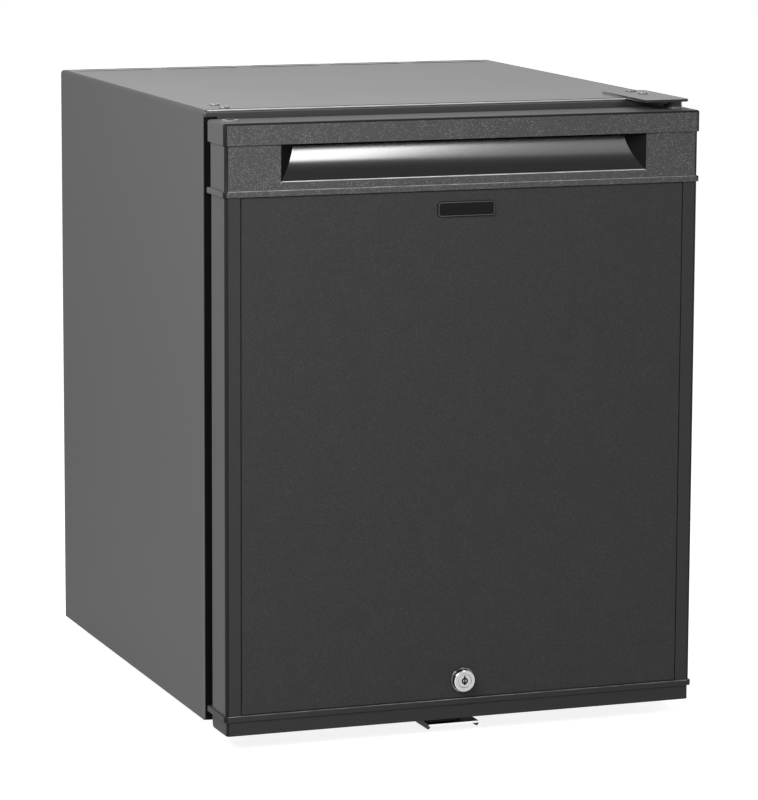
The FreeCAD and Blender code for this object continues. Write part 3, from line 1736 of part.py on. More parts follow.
def cable_gland():
    """Empty cable gland: a bored sleeve through the cover with a nut on each side."""
    place = gland_place()
    inner = place - AXIS_Y * (control_cover_sheet + gland_nut_length)
    length = control_cover_sheet + 2 * gland_nut_length
    body = sleeve(gland_radius, gland_bore_radius, length, inner, AXIS_Y)
    pieces = [body]
    for start in (inner, place):
        pieces.append(sleeve(gland_nut_radius, gland_bore_radius, gland_nut_length, start, AXIS_Y))
    return join(pieces)


def main():
    """Build every piece and write it under its own name."""
    os.makedirs("parts", exist_ok=True)
    right_side = side_panel()
    right_profile = door_profile()
    pipework = unit_pipework()
    pieces = {
        "side_panel_right": right_side,
        "side_panel_left": mirrored(right_side),
        "top_panel": top_panel(),
        "front_frame": front_frame(),
        "base_pan": base_pan(),
        "back_panel": back_panel(),
        "cabinet_foam": insulation(),
        "inner_liner": inner_liner(),
        "shelf_lower": wire_shelf(shelf_level_shares[0]),
        "shelf_upper": wire_shelf(shelf_level_shares[1]),
        "evaporator": evaporator(),
        "drip_tray": drip_tray(),
        "door_switch": door_switch(),
        "lamp_board": lamp_board(),
        "lamp_lens": lamp_lens(),
        "thermostat_housing": thermostat_housing(),
        "thermostat_knob": thermostat_knob(),
        "feet": feet(),
        "foot_screws": foot_screws(),
        "hinge_screws": hinge_screws(),
        "blanking_screws": blanking_screws(),
        "strike_plate": strike_plate(),
        "strike_screws": strike_screws(),
        "top_hinge_plate": top_hinge_plate(),
        "bottom_hinge_plate": bottom_hinge_plate(),
        "hinge_pins": hinge_pins(),
        "hinge_washers": hinge_washers(),
        "unit_pipework": pipework,
        "solution_tank": solution_tank(),
        "absorber_coil": absorber_coil(),
        "condenser_fins": condenser_fins(pipework),
        "boiler_cover": boiler_cover(pipework),
        "boiler_insulation": boiler_insulation(pipework),
        "heater_cartridge": heater_cartridge(),
        "heater_leads": group(heater_lead_list()),
        "unit_straps": unit_straps(),
        "control_box": control_box(),
        "control_box_cover": control_box_cover(),
        "cable_gland": cable_gland(),
        "door_top_cap": door_top_cap(),
        "door_bottom_cap": door_bottom_cap(),
        "door_profile_right": right_profile,
        "door_profile_left": mirrored(right_profile),
        "door_front_panel": door_front_panel(),
        "door_foam": door_foam(),
        "door_liner": door_liner(),
        "door_gasket": door_gasket(),
        "gasket_magnets": magnet_bars(),
        "handle_insert": handle_insert(),
        "badge_plate": badge_plate(),
        "hinge_bushes": hinge_bushes(),
        "door_bin_lower": door_bin(0),
        "door_bin_upper": door_bin(1),
        "bin_rails": group([bin_rail(0), bin_rail(1)]),
        "lock_housing": lock_housing(),
        "lock_nut": lock_nut(),
        "lock_plug": lock_plug(),
        "lock_cam": lock_cam(),
        "cam_screw": cam_screw(),
    }
    for name, shape in pieces.items():
        save(name, shape)
        print(name, len(shape.Solids), round(shape.Volume), shape.isValid())


main()
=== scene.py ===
"""Minibar fridge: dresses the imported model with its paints, plastics, metals and small trim.

Metres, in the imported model's own frame: X runs to the right as one faces the door, Y runs to the
back and Z runs up.
"""
import bpy
import bmesh
import math
from mathutils import Matrix, Quaternion, Vector
from mathutils.noise import noise as noise_value


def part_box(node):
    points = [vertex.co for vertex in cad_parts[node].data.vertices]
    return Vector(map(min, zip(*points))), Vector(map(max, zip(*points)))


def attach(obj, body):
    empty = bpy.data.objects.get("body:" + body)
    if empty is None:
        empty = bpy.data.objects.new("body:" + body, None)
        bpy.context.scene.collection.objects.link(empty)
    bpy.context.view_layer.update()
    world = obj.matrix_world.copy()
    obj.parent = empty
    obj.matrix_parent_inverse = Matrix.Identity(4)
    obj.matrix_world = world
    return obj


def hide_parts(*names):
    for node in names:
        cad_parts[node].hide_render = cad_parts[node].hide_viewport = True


bl_info = {
    "name": "Minibar fridge dressing",
    "version": (1, 0, 0),
    "blender": (4, 5, 0),
    "location": "3D View > Sidebar > Minibar",
    "description": "Paints, plastics, metals and small trim of a minibar fridge",
    "category": "Object",
}

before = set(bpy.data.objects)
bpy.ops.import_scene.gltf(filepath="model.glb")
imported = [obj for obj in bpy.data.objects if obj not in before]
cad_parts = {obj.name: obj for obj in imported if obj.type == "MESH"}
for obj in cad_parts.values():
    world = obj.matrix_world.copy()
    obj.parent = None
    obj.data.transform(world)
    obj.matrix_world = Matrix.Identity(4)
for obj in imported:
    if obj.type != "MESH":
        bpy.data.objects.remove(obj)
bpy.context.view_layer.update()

MM = 0.001
RIGHT, BACK, UP = Vector((1, 0, 0)), Vector((0, 1, 0)), Vector((0, 0, 1))
WHITE = (1.0, 1.0, 1.0, 1.0)


def linear(level):
    """Linear value of a display grey from 0 to 255."""
    share = level / 255
    if share <= 0.04045:
        return share / 12.92
    return ((share + 0.055) / 1.055) ** 2.4


def chip(red, green, blue):
    """Linear colour of a display colour from 0 to 255."""
    return (linear(red), linear(green), linear(blue))


def colour_property(title, text, default):
    return bpy.props.FloatVectorProperty(
        name=title, description=text, subtype="COLOR", size=3, min=0.0, max=1.0, default=default,
    )


def length_property(title, text, default):
    return bpy.props.FloatProperty(
        name=title, description=text, unit="LENGTH", min=0.0, default=default,
    )


def power_property(title, text, default):
    return bpy.props.FloatProperty(
        name=title, description=f"Power of {text}, in watts", min=0.0, default=default,
    )


def share_property(title, text, default):
    return bpy.props.FloatProperty(
        name=title, description=text, subtype="FACTOR", min=0.0, max=1.0, default=default,
    )


class FridgeColours(bpy.types.PropertyGroup):
    """Colours of the finishes."""

    cabinet: colour_property("Cabinet paint", "Side sheets", chip(71, 71, 72))
    # Painted light: the top sheet's grey is lighter than the side sheets' grey of the same paint
    cabinet_top_lit: colour_property("Cabinet top", "Top sheet", chip(100, 100, 101))
    face_frame: colour_property("Face frame", "Frame round the cabinet's opening", chip(40, 40, 41))
    moulding: colour_property("Moulding", "Grained top cap of the door", chip(70, 70, 71))
    # Painted shade: the bottom cap's moulding is darker than the top cap's
    foot_moulding_shaded: colour_property("Foot moulding", "Bottom cap of the door", chip(52, 52, 53))
    # Painted shade on the door's rounded front edges
    edge_shade: colour_property("Moulded edge", "Rounded front edges of the door", chip(24, 24, 25))
    profile: colour_property("Profile", "Smooth side profiles of the door", chip(51, 51, 52))
    # Painted light: the profiles' outer sides take a lighter grey than their fronts
    profile_flank_lit: colour_property("Profile flank", "Outer sides of the profiles", chip(66, 66, 67))
    panel: colour_property("Front panel", "Sheet in the door's front", chip(51, 51, 52))
    handle: colour_property("Handle scoop", "Gloss lining of the handle", chip(16, 16, 17))
    # Near-black for painted shade: the handle's recess walls, the strips beside the door seal and
    # the key's opening
    recess: colour_property("Recess", "Walls of the recess beside the scoop", chip(12, 12, 13))
    # Painted highlight on the rounded edge of the handle's sill
    polished: colour_property("Painted sill highlight", "Bead on the handle's sill", chip(190, 190, 190))
    # Painted highlight on the roof's front edge and on the tops of the vent lips
    roof_lip: colour_property("Roof lip", "Bright lips of the top sheet", chip(176, 176, 177))
    # Painted highlight on the upper rib and on the ends of the scoop
    rib_edge: colour_property("Rib edge", "Upper rib and ends of the scoop", chip(128, 128, 129))
    # Painted highlight on the lower rib
    foot_rib_highlight: colour_property("Foot rib edge", "Bead of the lower rib", chip(92, 92, 93))
    badge: colour_property("Badge", "Gloss face of the bare badge", chip(9, 9, 11))
    badge_rim: colour_property("Badge rim", "Rim of the badge", chip(84, 84, 86))
    liner: colour_property("Liner", "Inside of the cabinet and of the door", chip(216, 218, 218))
    chrome: colour_property("Chrome", "Rim of the lock and bin rails", chip(214, 214, 214))
    zinc: colour_property("Zinc", "Bare sheet, lock nut and cam", chip(180, 182, 184))
    rubber: colour_property("Rubber", "Feet and door seal", chip(34, 34, 35))
    unit_black: colour_property("Cooling unit", "Painted pipes, tank and fins", chip(30, 30, 32))


class FridgeSizes(bpy.types.PropertyGroup):
    """Sizes of the trim and of the softened edges."""

    edge: length_property("Edge", "Rounding of moulded edges", 0.45 * MM)
    grain: length_property("Grain", "Size of the moulding's grain", 1.3 * MM)
    badge_rim: length_property("Badge rim", "Width of the badge's rim", 0.5 * MM)
    badge_rim_rise: length_property("Rim rise", "Height of the rim over the face", 0.15 * MM)
    bead: length_property("Bead", "Radius of the beads on the door's front", 0.4 * MM)
    lip: length_property("Roof lip", "Radius of the bead on the roof's front edge", 0.6 * MM)
    rib: length_property("Rib", "Height of the rib under the handle", 4.5 * MM)
    dial_tick: length_property("Dial tick", "Length of the longest mark round the knob", 3.0 * MM)
    weld: length_property("Weld", "Height of a weld bead on the tank", 0.8 * MM)


class FridgeStage(bpy.types.PropertyGroup):
    """Lamps, world, floor and camera."""

    side_lamp: power_property("Side lamp", "the soft lamp at the upper left", 14.0)
    top_lamp: power_property("Top lamp", "the soft lamp overhead", 18.0)
    key_lamp: power_property("Key lamp", "the near lamp at the front left", 10.0)
    shoulder_lamp: power_property("Shoulder lamp", "the lamp over the left side", 3.0)
    flank_lamp: power_property("Flank lamp", "the soft lamp at the right", 5.5)
    window_lamp: power_property("Window lamp", "the bright lamp that the scoop mirrors", 28.4)
    front_lamp: power_property("Front lamp", "the dimmer lamp beside the window lamp", 1.9)
    surround: share_property("Surround", "Level of the plain light from all round", 0.08)
    ceiling: share_property("Ceiling", "Level that gloss sees overhead", 0.2)
    floor: colour_property("Floor", "Plain pale floor", (0.5, 0.5, 0.5))
    floor_glow: share_property("Floor glow", "White that the camera sees in the floor", 0.85)
    focal_length: bpy.props.FloatProperty(
        name="Focal length", description="Focal length of the camera in millimetres",
        min=1.0, default=179.61,
    )


def colours():
    return bpy.context.scene.fridge_colours


def sizes():
    return bpy.context.scene.fridge_sizes


def stage_values():
    return bpy.context.scene.fridge_stage


# Nodes


def put(tree, kind, **settings):
    """New node with its settings."""
    node = tree.nodes.new(kind)
    for name, value in settings.items():
        setattr(node, name, value)
    return node


def feed(tree, target, source):
    """Links an output to an input, or sets the input where a plain value is given."""
    if isinstance(source, bpy.types.NodeSocket):
        tree.links.new(source, target)
    else:
        target.default_value = source


def feed_all(tree, node, sources):
    """Feeds several inputs of a node by their names."""
    for title, source in sources.items():
        feed(tree, node.inputs[title], source)


def calc(tree, operation, first, second, clamp=False):
    """Output of a maths node on two values or outputs."""
    node = put(tree, "ShaderNodeMath", operation=operation, use_clamp=clamp)
    feed(tree, node.inputs[0], first)
    feed(tree, node.inputs[1], second)
    return node.outputs[0]


def coordinates(tree, kind="Object"):
    """Texture coordinates, as a rule the object's own in metres."""
    return put(tree, "ShaderNodeTexCoord").outputs[kind]


def noise(tree, vector, scale, detail=2.0, roughness=0.5):
    """Output of a noise node centred on zero, from about -1 to 1."""
    node = put(tree, "ShaderNodeTexNoise", noise_dimensions="3D")
    feed_all(tree, node, {
        "Vector": vector, "Scale": scale, "Detail": detail, "Roughness": roughness,
    })
    centred = calc(tree, "SUBTRACT", node.outputs["Fac"], 0.5)
    return calc(tree, "MULTIPLY", centred, 2.0)


def ramp(tree, value, start, end, low=0.0, high=1.0, kind="SMOOTHSTEP"):
    """Output that goes from low to high while a value goes from start to end."""
    node = put(tree, "ShaderNodeMapRange", interpolation_type=kind)
    feed_all(tree, node, {
        "Value": value, "From Min": start, "From Max": end, "To Min": low, "To Max": high,
    })
    return node.outputs["Result"]


def tinted(tree, colour, factor):
    """Colour multiplied by one factor."""
    node = put(tree, "ShaderNodeVectorMath", operation="SCALE")
    feed(tree, node.inputs[0], colour)
    feed(tree, node.inputs["Scale"], factor)
    return node.outputs[0]


# Shared effects


def fill_effect(tree, start, end, vector):
    """Broad patches in colour and gloss, and a fine grain that follows a vector."""
    given = start.outputs
    patches = noise(tree, coordinates(tree), given["Patch Scale"], 3.0)
    grain = noise(tree, vector, given["Grain Scale"], 2.5, 0.6)
    patch_part = calc(tree, "MULTIPLY", patches, given["Patch Amount"])
    grain_part = calc(tree, "MULTIPLY", grain, given["Grain Amount"])
    factor = calc(tree, "ADD", calc(tree, "ADD", patch_part, grain_part), 1.0)
    spread = calc(tree, "MULTIPLY", patches, given["Roughness Spread"])
    feed_all(tree, end, {
        "Colour": tinted(tree, given["Colour"], factor),
        "Roughness": calc(tree, "ADD", given["Roughness"], spread, True),
        "Height": grain,
    })


def fill_grain(tree, start, end):
    """Even grain with faint patches: paint, moulded plastic and rubber."""
    fill_effect(tree, start, end, coordinates(tree))


def fill_streaks(tree, start, end):
    """Grain drawn out along one direction: rolled and brushed metal."""
    mapping = put(tree, "ShaderNodeMapping")
    feed_all(tree, mapping, {"Vector": coordinates(tree), "Scale": start.outputs["Stretch"]})
    fill_effect(tree, start, end, mapping.outputs[0])


def fill_dust(tree, start, end):
    """Thin dust on faces that look up: a lighter colour and a duller gloss."""
    given = start.outputs
    patch_scale, contrast, cover, dulling = 14.0, 0.5, 0.7, 0.4
    normal = put(tree, "ShaderNodeSeparateXYZ")
    feed(tree, normal.inputs[0], put(tree, "ShaderNodeNewGeometry").outputs["Normal"])
    patches = noise(tree, coordinates(tree), patch_scale, 4.0, 0.6)
    uneven = calc(tree, "ADD", calc(tree, "MULTIPLY", patches, contrast), cover)
    upward = calc(tree, "MULTIPLY", normal.outputs["Z"], uneven, True)
    mask = calc(tree, "MULTIPLY", upward, given["Dust Amount"])
    mix = put(tree, "ShaderNodeMix", data_type="RGBA")
    feed_all(tree, mix, {"Factor": mask, "A": given["Colour"], "B": given["Dust Colour"]})
    duller = calc(tree, "MULTIPLY", mask, dulling)
    feed_all(tree, end, {
        "Colour": mix.outputs["Result"],
        "Roughness": calc(tree, "ADD", given["Roughness"], duller, True),
    })


def fill_speckle(tree, start, end):
    """Small bright dots in loose clusters: light caught by the pimples of a moulded grain."""
    rim, core = 0.55, 0.2
    sparse, dense = 0.25, 0.85
    cluster_scale, clustering = 60.0, 0.9
    cells = put(tree, "ShaderNodeTexVoronoi", feature="F1")
    feed_all(tree, cells, {"Vector": coordinates(tree), "Scale": start.outputs["Dot Scale"]})
    dots = ramp(tree, cells.outputs["Distance"], rim, core)
    chosen = put(tree, "ShaderNodeSeparateColor")
    feed(tree, chosen.inputs[0], cells.outputs["Color"])
    clusters = noise(tree, coordinates(tree), cluster_scale, 3.0, 0.65)
    level = calc(tree, "ADD", calc(tree, "MULTIPLY", clusters, clustering), chosen.outputs[0])
    lit = calc(tree, "MULTIPLY", dots, ramp(tree, level, sparse, dense))
    factor = calc(tree, "ADD", calc(tree, "MULTIPLY", lit, start.outputs["Amount"]), 1.0)
    feed(tree, end.inputs["Colour"], tinted(tree, start.outputs["Colour"], factor))


GREY = (0.5, 0.5, 0.5, 1.0)
EFFECT_IN = {
    "Colour": GREY, "Roughness": 0.5, "Roughness Spread": 0.05, "Patch Scale": 8.0,
    "Patch Amount": 0.03, "Grain Scale": 800.0, "Grain Amount": 0.05,
}
STREAKS_IN = {**EFFECT_IN, "Stretch": (1.0, 0.06, 1.0)}
DUST_IN = {
    "Colour": GREY, "Roughness": 0.5, "Dust Colour": (0.45, 0.44, 0.42, 1.0), "Dust Amount": 0.1,
}
SPECKLE_IN = {"Colour": GREY, "Dot Scale": 600.0, "Amount": 1.0}

# Each effect's inputs with their defaults, its outputs, and the function that fills its group
EFFECTS = {
    "Grain": (EFFECT_IN, ("Colour", "Roughness", "Height"), fill_grain),
    "Streaks": (STREAKS_IN, ("Colour", "Roughness", "Height"), fill_streaks),
    "Dust": (DUST_IN, ("Colour", "Roughness"), fill_dust),
    "Speckle": (SPECKLE_IN, ("Colour",), fill_speckle),
}


def new_socket(tree, title, side):
    """Socket of a node group, of the kind that its name tells."""
    kind = "Color" if "Colour" in title else "Vector" if title == "Stretch" else "Float"
    return tree.interface.new_socket(name=title, in_out=side, socket_type="NodeSocket" + kind)


def shared_group(name):
    """Node group of an effect, built the first time that it is asked for."""
    tree = bpy.data.node_groups.get(name)
    if tree is None:
        inputs, outputs, fill = EFFECTS[name]
        tree = bpy.data.node_groups.new(name, "ShaderNodeTree")
        for title, default in inputs.items():
            new_socket(tree, title, "INPUT").default_value = default
        for title in outputs:
            new_socket(tree, title, "OUTPUT")
        fill(tree, tree.nodes.new("NodeGroupInput"), tree.nodes.new("NodeGroupOutput"))
    return tree


def add_effect(tree, name, sources):
    """Outputs of an effect that is placed in a material with its own values."""
    node = put(tree, "ShaderNodeGroup", node_tree=shared_group(name))
    feed_all(tree, node, sources)
    return node.outputs


# Finishes


def finish(
    name, colour, roughness, metallic=0.0, spread=0.04, patch=0.03, patch_size=0.12, grain=0.05,
    grain_size=1.2 * MM, bump=0.0, bump_depth=0.05 * MM, specular=0.5, streak=None, dust=0.0,
    speckle=0.0, speckle_size=1.15 * MM,
):
    """Material with grain or streaks. Sizes are the real sizes of its grain and patches."""
    found = bpy.data.materials.get(name)
    if found:
        return found
    material = bpy.data.materials.new(name)
    material.use_nodes = True
    tree = material.node_tree
    shader = tree.nodes["Principled BSDF"]
    feed_all(tree, shader, {"Metallic": metallic, "Specular IOR Level": specular})
    values = {
        "Colour": (*colour, 1.0), "Roughness": roughness, "Roughness Spread": spread,
        "Patch Scale": 1 / patch_size, "Patch Amount": patch, "Grain Scale": 1 / grain_size,
        "Grain Amount": grain,
    }
    if streak:
        values["Stretch"] = streak
    effect = add_effect(tree, "Streaks" if streak else "Grain", values)
    layer = {"Colour": effect["Colour"], "Roughness": effect["Roughness"]}
    if dust:
        dusty = add_effect(tree, "Dust", {**layer, "Dust Amount": dust})
        layer = {"Colour": dusty["Colour"], "Roughness": dusty["Roughness"]}
    if speckle:
        dots = {"Colour": layer["Colour"], "Dot Scale": 1 / speckle_size, "Amount": speckle}
        layer["Colour"] = add_effect(tree, "Speckle", dots)["Colour"]
    feed_all(tree, shader, {"Base Color": layer["Colour"], "Roughness": layer["Roughness"]})
    if bump:
        relief = put(tree, "ShaderNodeBump")
        feed_all(tree, relief, {
            "Strength": bump, "Distance": bump_depth, "Height": effect["Height"],
        })
        feed(tree, shader.inputs["Normal"], relief.outputs["Normal"])
    return material


def clear_finish(name, colour, roughness):
    """Clear moulded plastic or glass."""
    material = finish(name, colour, roughness, grain=0.0, patch=0.01)
    shader = material.node_tree.nodes["Principled BSDF"]
    shader.inputs["Transmission Weight"].default_value = 0.85
    shader.inputs["IOR"].default_value = 1.49
    return material


def soften(node, width):
    """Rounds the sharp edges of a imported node."""
    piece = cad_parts[node]
    weld = piece.modifiers.new("weld", "WELD")
    weld.merge_threshold = 0.01 * MM
    bevel = piece.modifiers.new("edge", "BEVEL")
    bevel.width = width
    bevel.segments = 2
    bevel.limit_method = "ANGLE"
    bevel.angle_limit = math.radians(40)
    bevel.use_clamp_overlap = True
    bevel.harden_normals = True


def dress(nodes, material, edge=0.0):
    """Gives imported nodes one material, and softens their edges where a width is given."""
    for node in nodes:
        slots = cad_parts[node].data.materials
        slots.clear()
        slots.append(material)
        if edge:
            soften(node, edge)


def recolour(node, material, chosen):
    """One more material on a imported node, for the faces that a test picks out."""
    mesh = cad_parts[node].data
    mesh.materials.append(material)
    slot = len(mesh.materials) - 1
    for face in mesh.polygons:
        if chosen(face):
            face.material_index = slot


# Mesh tools


def add_mesh(name, fill, material, body, smooth=False):
    """New piece from a bmesh that a function fills."""
    mesh = bpy.data.meshes.new(name)
    work = bmesh.new()
    fill(work)
    bmesh.ops.recalc_face_normals(work, faces=work.faces)
    work.to_mesh(mesh)
    work.free()
    mesh.materials.append(material)
    for face in mesh.polygons:
        face.use_smooth = smooth
    piece = bpy.data.objects.new(name, mesh)
    bpy.context.scene.collection.objects.link(piece)
    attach(piece, body)
    return piece


def bridge(work, rings, closed=False, capped=False):
    """Quads between rings of vertices. Closed joins the last to the first, capped fills both."""
    following = rings[1:] + rings[:1] if closed else rings[1:]
    for ring, after in zip(rings, following):
        for place in range(len(ring)):
            beyond = (place + 1) % len(ring)
            work.faces.new((ring[place], ring[beyond], after[beyond], after[place]))
    if capped:
        work.faces.new(rings[0])
        work.faces.new(rings[-1])


def round_loop(work, centre, first, second, radius, sides=8):
    """Vertices of a circle in the plane of two vectors."""
    turns = [2 * math.pi * side / sides for side in range(sides)]
    return [
        work.verts.new(centre + (first * math.cos(turn) + second * math.sin(turn)) * radius)
        for turn in turns
    ]


def rounded_outline(half_width, half_height, radius, steps=6):
    """Points of a rounded rectangle round the origin, corner by corner."""
    points = []
    for corner in range(4):
        turn = corner * math.pi / 2
        side_x = 1 if corner in (0, 3) else -1
        side_z = 1 if corner in (0, 1) else -1
        for step in range(steps + 1):
            angle = turn + step / steps * math.pi / 2
            points.append((
                side_x * (half_width - radius) + math.cos(angle) * radius,
                side_z * (half_height - radius) + math.sin(angle) * radius,
            ))
    return points


def add_bar(name, half_length, y, z, radius, material, body, slot):
    """Thin round bar along X with tapered ends, half sunk in the edge that it follows."""
    tip, taper = 0.35, 4 * radius
    straight = half_length - taper

    def fill(work):
        bridge(work, [
            round_loop(work, Vector((x, y, z)), UP, BACK, radius * share)
            for x, share in (
                (-half_length, tip), (-straight, 1.0), (straight, 1.0), (half_length, tip),
            )
        ], capped=True)

    add_mesh(name, fill, material, body, smooth=True)


def add_ring(work, centre, radius, bead, plane, uneven=0.0):
    """Bead that runs round in a plane, which two unit vectors give. An uneven one is wider."""
    steps = 48
    width = 1.6 if uneven else 1.0
    axis = plane[0].cross(plane[1]) * width
    rings = []
    for step in range(steps):
        angle = 2 * math.pi * step / steps
        swell = bead * (1 + uneven * noise_value(Vector((step * 0.9, radius * 100, 0.3))))
        outward = plane[0] * math.cos(angle) + plane[1] * math.sin(angle)
        rings.append(round_loop(work, centre + outward * radius, axis, outward, swell))
    bridge(work, rings, closed=True)


# Cabinet and door


class FRIDGE_OT_cabinet(bpy.types.Operator):
    """Paint the cabinet's sheets and its face frame"""

    bl_idname = "fridge.cabinet"
    bl_label = "Cabinet"

    def execute(self, context):
        dress(["side_panel_right", "side_panel_left"], finish(
            "cabinet paint", colours().cabinet, 0.5, grain=0.035, grain_size=0.9 * MM, bump=0.12,
            patch=0.02, patch_size=0.35, specular=0.1,
        ))
        # Painted light: the top sheet takes a lighter grey than the sides, with a little real dust
        dress(["top_panel"], finish(
            "top paint", colours().cabinet_top_lit, 0.45, grain=0.035, grain_size=0.9 * MM, bump=0.12,
            patch_size=0.2, specular=0.3, dust=0.04,
        ))
        dress(["front_frame"], finish(
            "frame paint", colours().face_frame, 0.4, grain=0.03, grain_size=0.9 * MM, bump=0.1,
        ))
        dress(["base_pan", "back_panel"], finish(
            "galvanised sheet", colours().zinc, 0.42, metallic=0.9, patch=0.12, patch_size=0.02,
            grain_size=3 * MM, spread=0.1,
        ))
        dress(["cabinet_foam", "door_foam"], finish(
            "foam", chip(214, 200, 150), 0.85, grain=0.1, grain_size=1.5 * MM, bump=0.5,
            bump_depth=0.4 * MM,
        ))
        return {"FINISHED"}


def fill_gap_shade_strips(work):
    """Two flat strips with bevelled edges on the face frame, outside the door seal: painted shade
    of the gap between cabinet and door.
    """
    low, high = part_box("front_frame")
    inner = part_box("door_gasket")[1].x + 2.0 * MM
    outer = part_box("side_panel_right")[1].x - 0.2 * MM
    bottom, top = low.z + 1.0 * MM, high.z - 5.0 * MM
    for side in (-1, 1):
        rings = []
        for inset, rise in ((0.0, -0.2 * MM), (0.0, 0.15 * MM), (0.3 * MM, 0.35 * MM)):
            corners = (
                (inner + inset, bottom + inset), (outer - inset, bottom + inset),
                (outer - inset, top - inset), (inner + inset, top - inset),
            )
            rings.append([work.verts.new((side * x, low.y - rise, z)) for x, z in corners])
        bridge(work, rings, capped=True)


def fill_lips(work):
    """Pressed lip round each rear vent slot in the top sheet. Its section is in millimetres."""
    section = ((2.4, -0.05), (1.9, 0.45), (0.8, 0.8), (0.2, 0.8), (0.0, 0.3), (0.0, -0.3))
    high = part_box("top_panel")[1]
    count, pitch, length, width = 5, 77.5 * MM, 62.0 * MM, 6.0 * MM
    corner, rear_margin = width * 0.45, 10.0 * MM
    middle_y = high.y - rear_margin - width / 2
    for index in range(count):
        middle_x = (index - (count - 1) / 2) * pitch
        rings = []
        for spread, rise in section:
            reach = spread * MM
            outline = rounded_outline(length / 2 + reach, width / 2 + reach, corner + reach, 5)
            rings.append([
                work.verts.new((middle_x + x, middle_y + y, high.z + rise * MM)) for x, y in outline
            ])
        bridge(work, rings)


class FRIDGE_OT_trim(bpy.types.Operator):
    """Add the strips of painted shade beside the door seal, the roof's front lip with its painted
    highlight, and the vent lips with painted highlight and shade
    """

    bl_idname = "fridge.trim"
    bl_label = "Cabinet trim"

    def execute(self, context):
        # Painted shade: near-black strips on the frame where the gap beside the door lies in shade
        strip = finish(
            "strip", colours().recess, 0.6, grain_size=1.0 * MM, bump=0.1, bump_depth=0.04 * MM,
            specular=0.05,
        )
        add_mesh("frame_edge_strips", fill_gap_shade_strips, strip, "cabinet")
        # Painted highlight: a bright bar along the roof's front edge; the dark bar behind it is the
        # seam
        lip_highlight = finish(
            "roof lip", colours().roof_lip, 0.35, spread=0.08, patch=0.25, patch_size=0.05,
            specular=0.4,
        )
        # Dark seam colour, which is also painted shade on the vent lips' sides
        seam_and_lip_shade = finish("roof seam", chip(34, 34, 35), 0.6, patch=0.3, patch_size=0.06, specular=0.1)
        low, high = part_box("front_frame")
        length = high.x - 3.0 * MM
        edges = (
            ("roof_lip", low.y + 0.3 * MM, high.z - 0.2 * MM, lip_highlight),
            ("roof_seam", high.y + 0.2 * MM, high.z, seam_and_lip_shade),
        )
        for name, y, z, material in edges:
            add_bar(name, length, y, z, sizes().lip, material, "cabinet", "frame_paint")
        lips = add_mesh("vent_lips", fill_lips, seam_and_lip_shade, "cabinet")
        lips.data.materials.append(lip_highlight)
        # Painted highlight on the faces that look up; the other faces keep the dark seam colour as
        # painted shade
        for face in lips.data.polygons:
            if face.normal.z > 0.85:
                face.material_index = 1
        return {"FINISHED"}


def shade_round_edges(node, material):
    """Second material on a node's rounded front edges: painted shade that makes them darker than
    its flat faces.
    """
    low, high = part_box(node)
    reach = 4.0 * MM
    least_turn, most_turn = 0.12, 0.992
    on_top = node == "door_top_cap"

    def rounded(face):
        turned = max(abs(face.normal.x), face.normal.z) if on_top else abs(face.normal.x)
        middle = face.center
        outer = min(middle.x - low.x, high.x - middle.x)
        if on_top:
            outer = min(outer, high.z - middle.z)
        oblique = least_turn < turned < most_turn and face.normal.y < -least_turn
        return oblique and outer < reach and middle.y < low.y + reach

    recolour(node, material, rounded)


class FRIDGE_OT_door_front(bpy.types.Operator):
    """Finish the door's caps, profiles and front panel"""

    bl_idname = "fridge.door_front"
    bl_label = "Door front"

    def execute(self, context):
        profiles = ("door_profile_right", "door_profile_left")
        dress(["door_top_cap"], finish(
            "grained moulding", colours().moulding, 0.5, spread=0.06, patch_size=0.06, grain=0.34,
            grain_size=sizes().grain, bump=0.55, bump_depth=0.12 * MM, specular=0.12, speckle=1.4,
        ), sizes().edge)
        fine = finish(
            "fine moulding", colours().moulding, 0.5, spread=0.05, patch=0.04, patch_size=0.08,
            grain=0.08, grain_size=sizes().grain, bump=0.3, bump_depth=0.08 * MM, specular=0.12,
        )
        # Only the cap's front faces show the coarse grain
        recolour("door_top_cap", fine, lambda face: face.normal.y > -0.5)
        # Painted shade: the bottom cap takes a darker colour than the top cap
        dress(["door_bottom_cap"], finish(
            "plain moulding", colours().foot_moulding_shaded, 0.5, spread=0.05, patch=0.04,
            patch_size=0.05, grain=0.1, grain_size=sizes().grain, bump=0.3, bump_depth=0.08 * MM,
            specular=0.08,
        ), sizes().edge)
        smooth = finish(
            "smooth profile", colours().profile, 0.5, grain=0.08, grain_size=1.0 * MM, bump=0.15,
            specular=0.1, speckle=0.3,
        )
        dress(profiles, smooth)
        # Painted light: the profiles' outer sides get a lighter copy of their finish
        lit_flank = finish(
            "profile flank", colours().profile_flank_lit, 0.5, grain_size=1.0 * MM, bump=0.15,
            specular=0.12,
        )
        for node in profiles:
            recolour(node, lit_flank, lambda face: abs(face.normal.x) > 0.9)
        panel = finish(
            "front panel", colours().panel, 0.5, spread=0.03, patch=0.015, patch_size=0.3,
            grain=0.22, grain_size=1.4 * MM, bump=0.45, bump_depth=0.08 * MM, specular=0.1,
            speckle=0.5,
        )
        dress(["door_front_panel"], panel)
        # Painted shade: a darker colour on the rounded front edges of the caps and profiles
        painted_edge_shade = finish(
            "moulded edge", colours().edge_shade, 0.5, grain_size=1.0 * MM, bump=0.1, specular=0.1,
        )
        for node in ("door_top_cap", "door_bottom_cap", *profiles):
            shade_round_edges(node, painted_edge_shade)
        return {"FINISHED"}


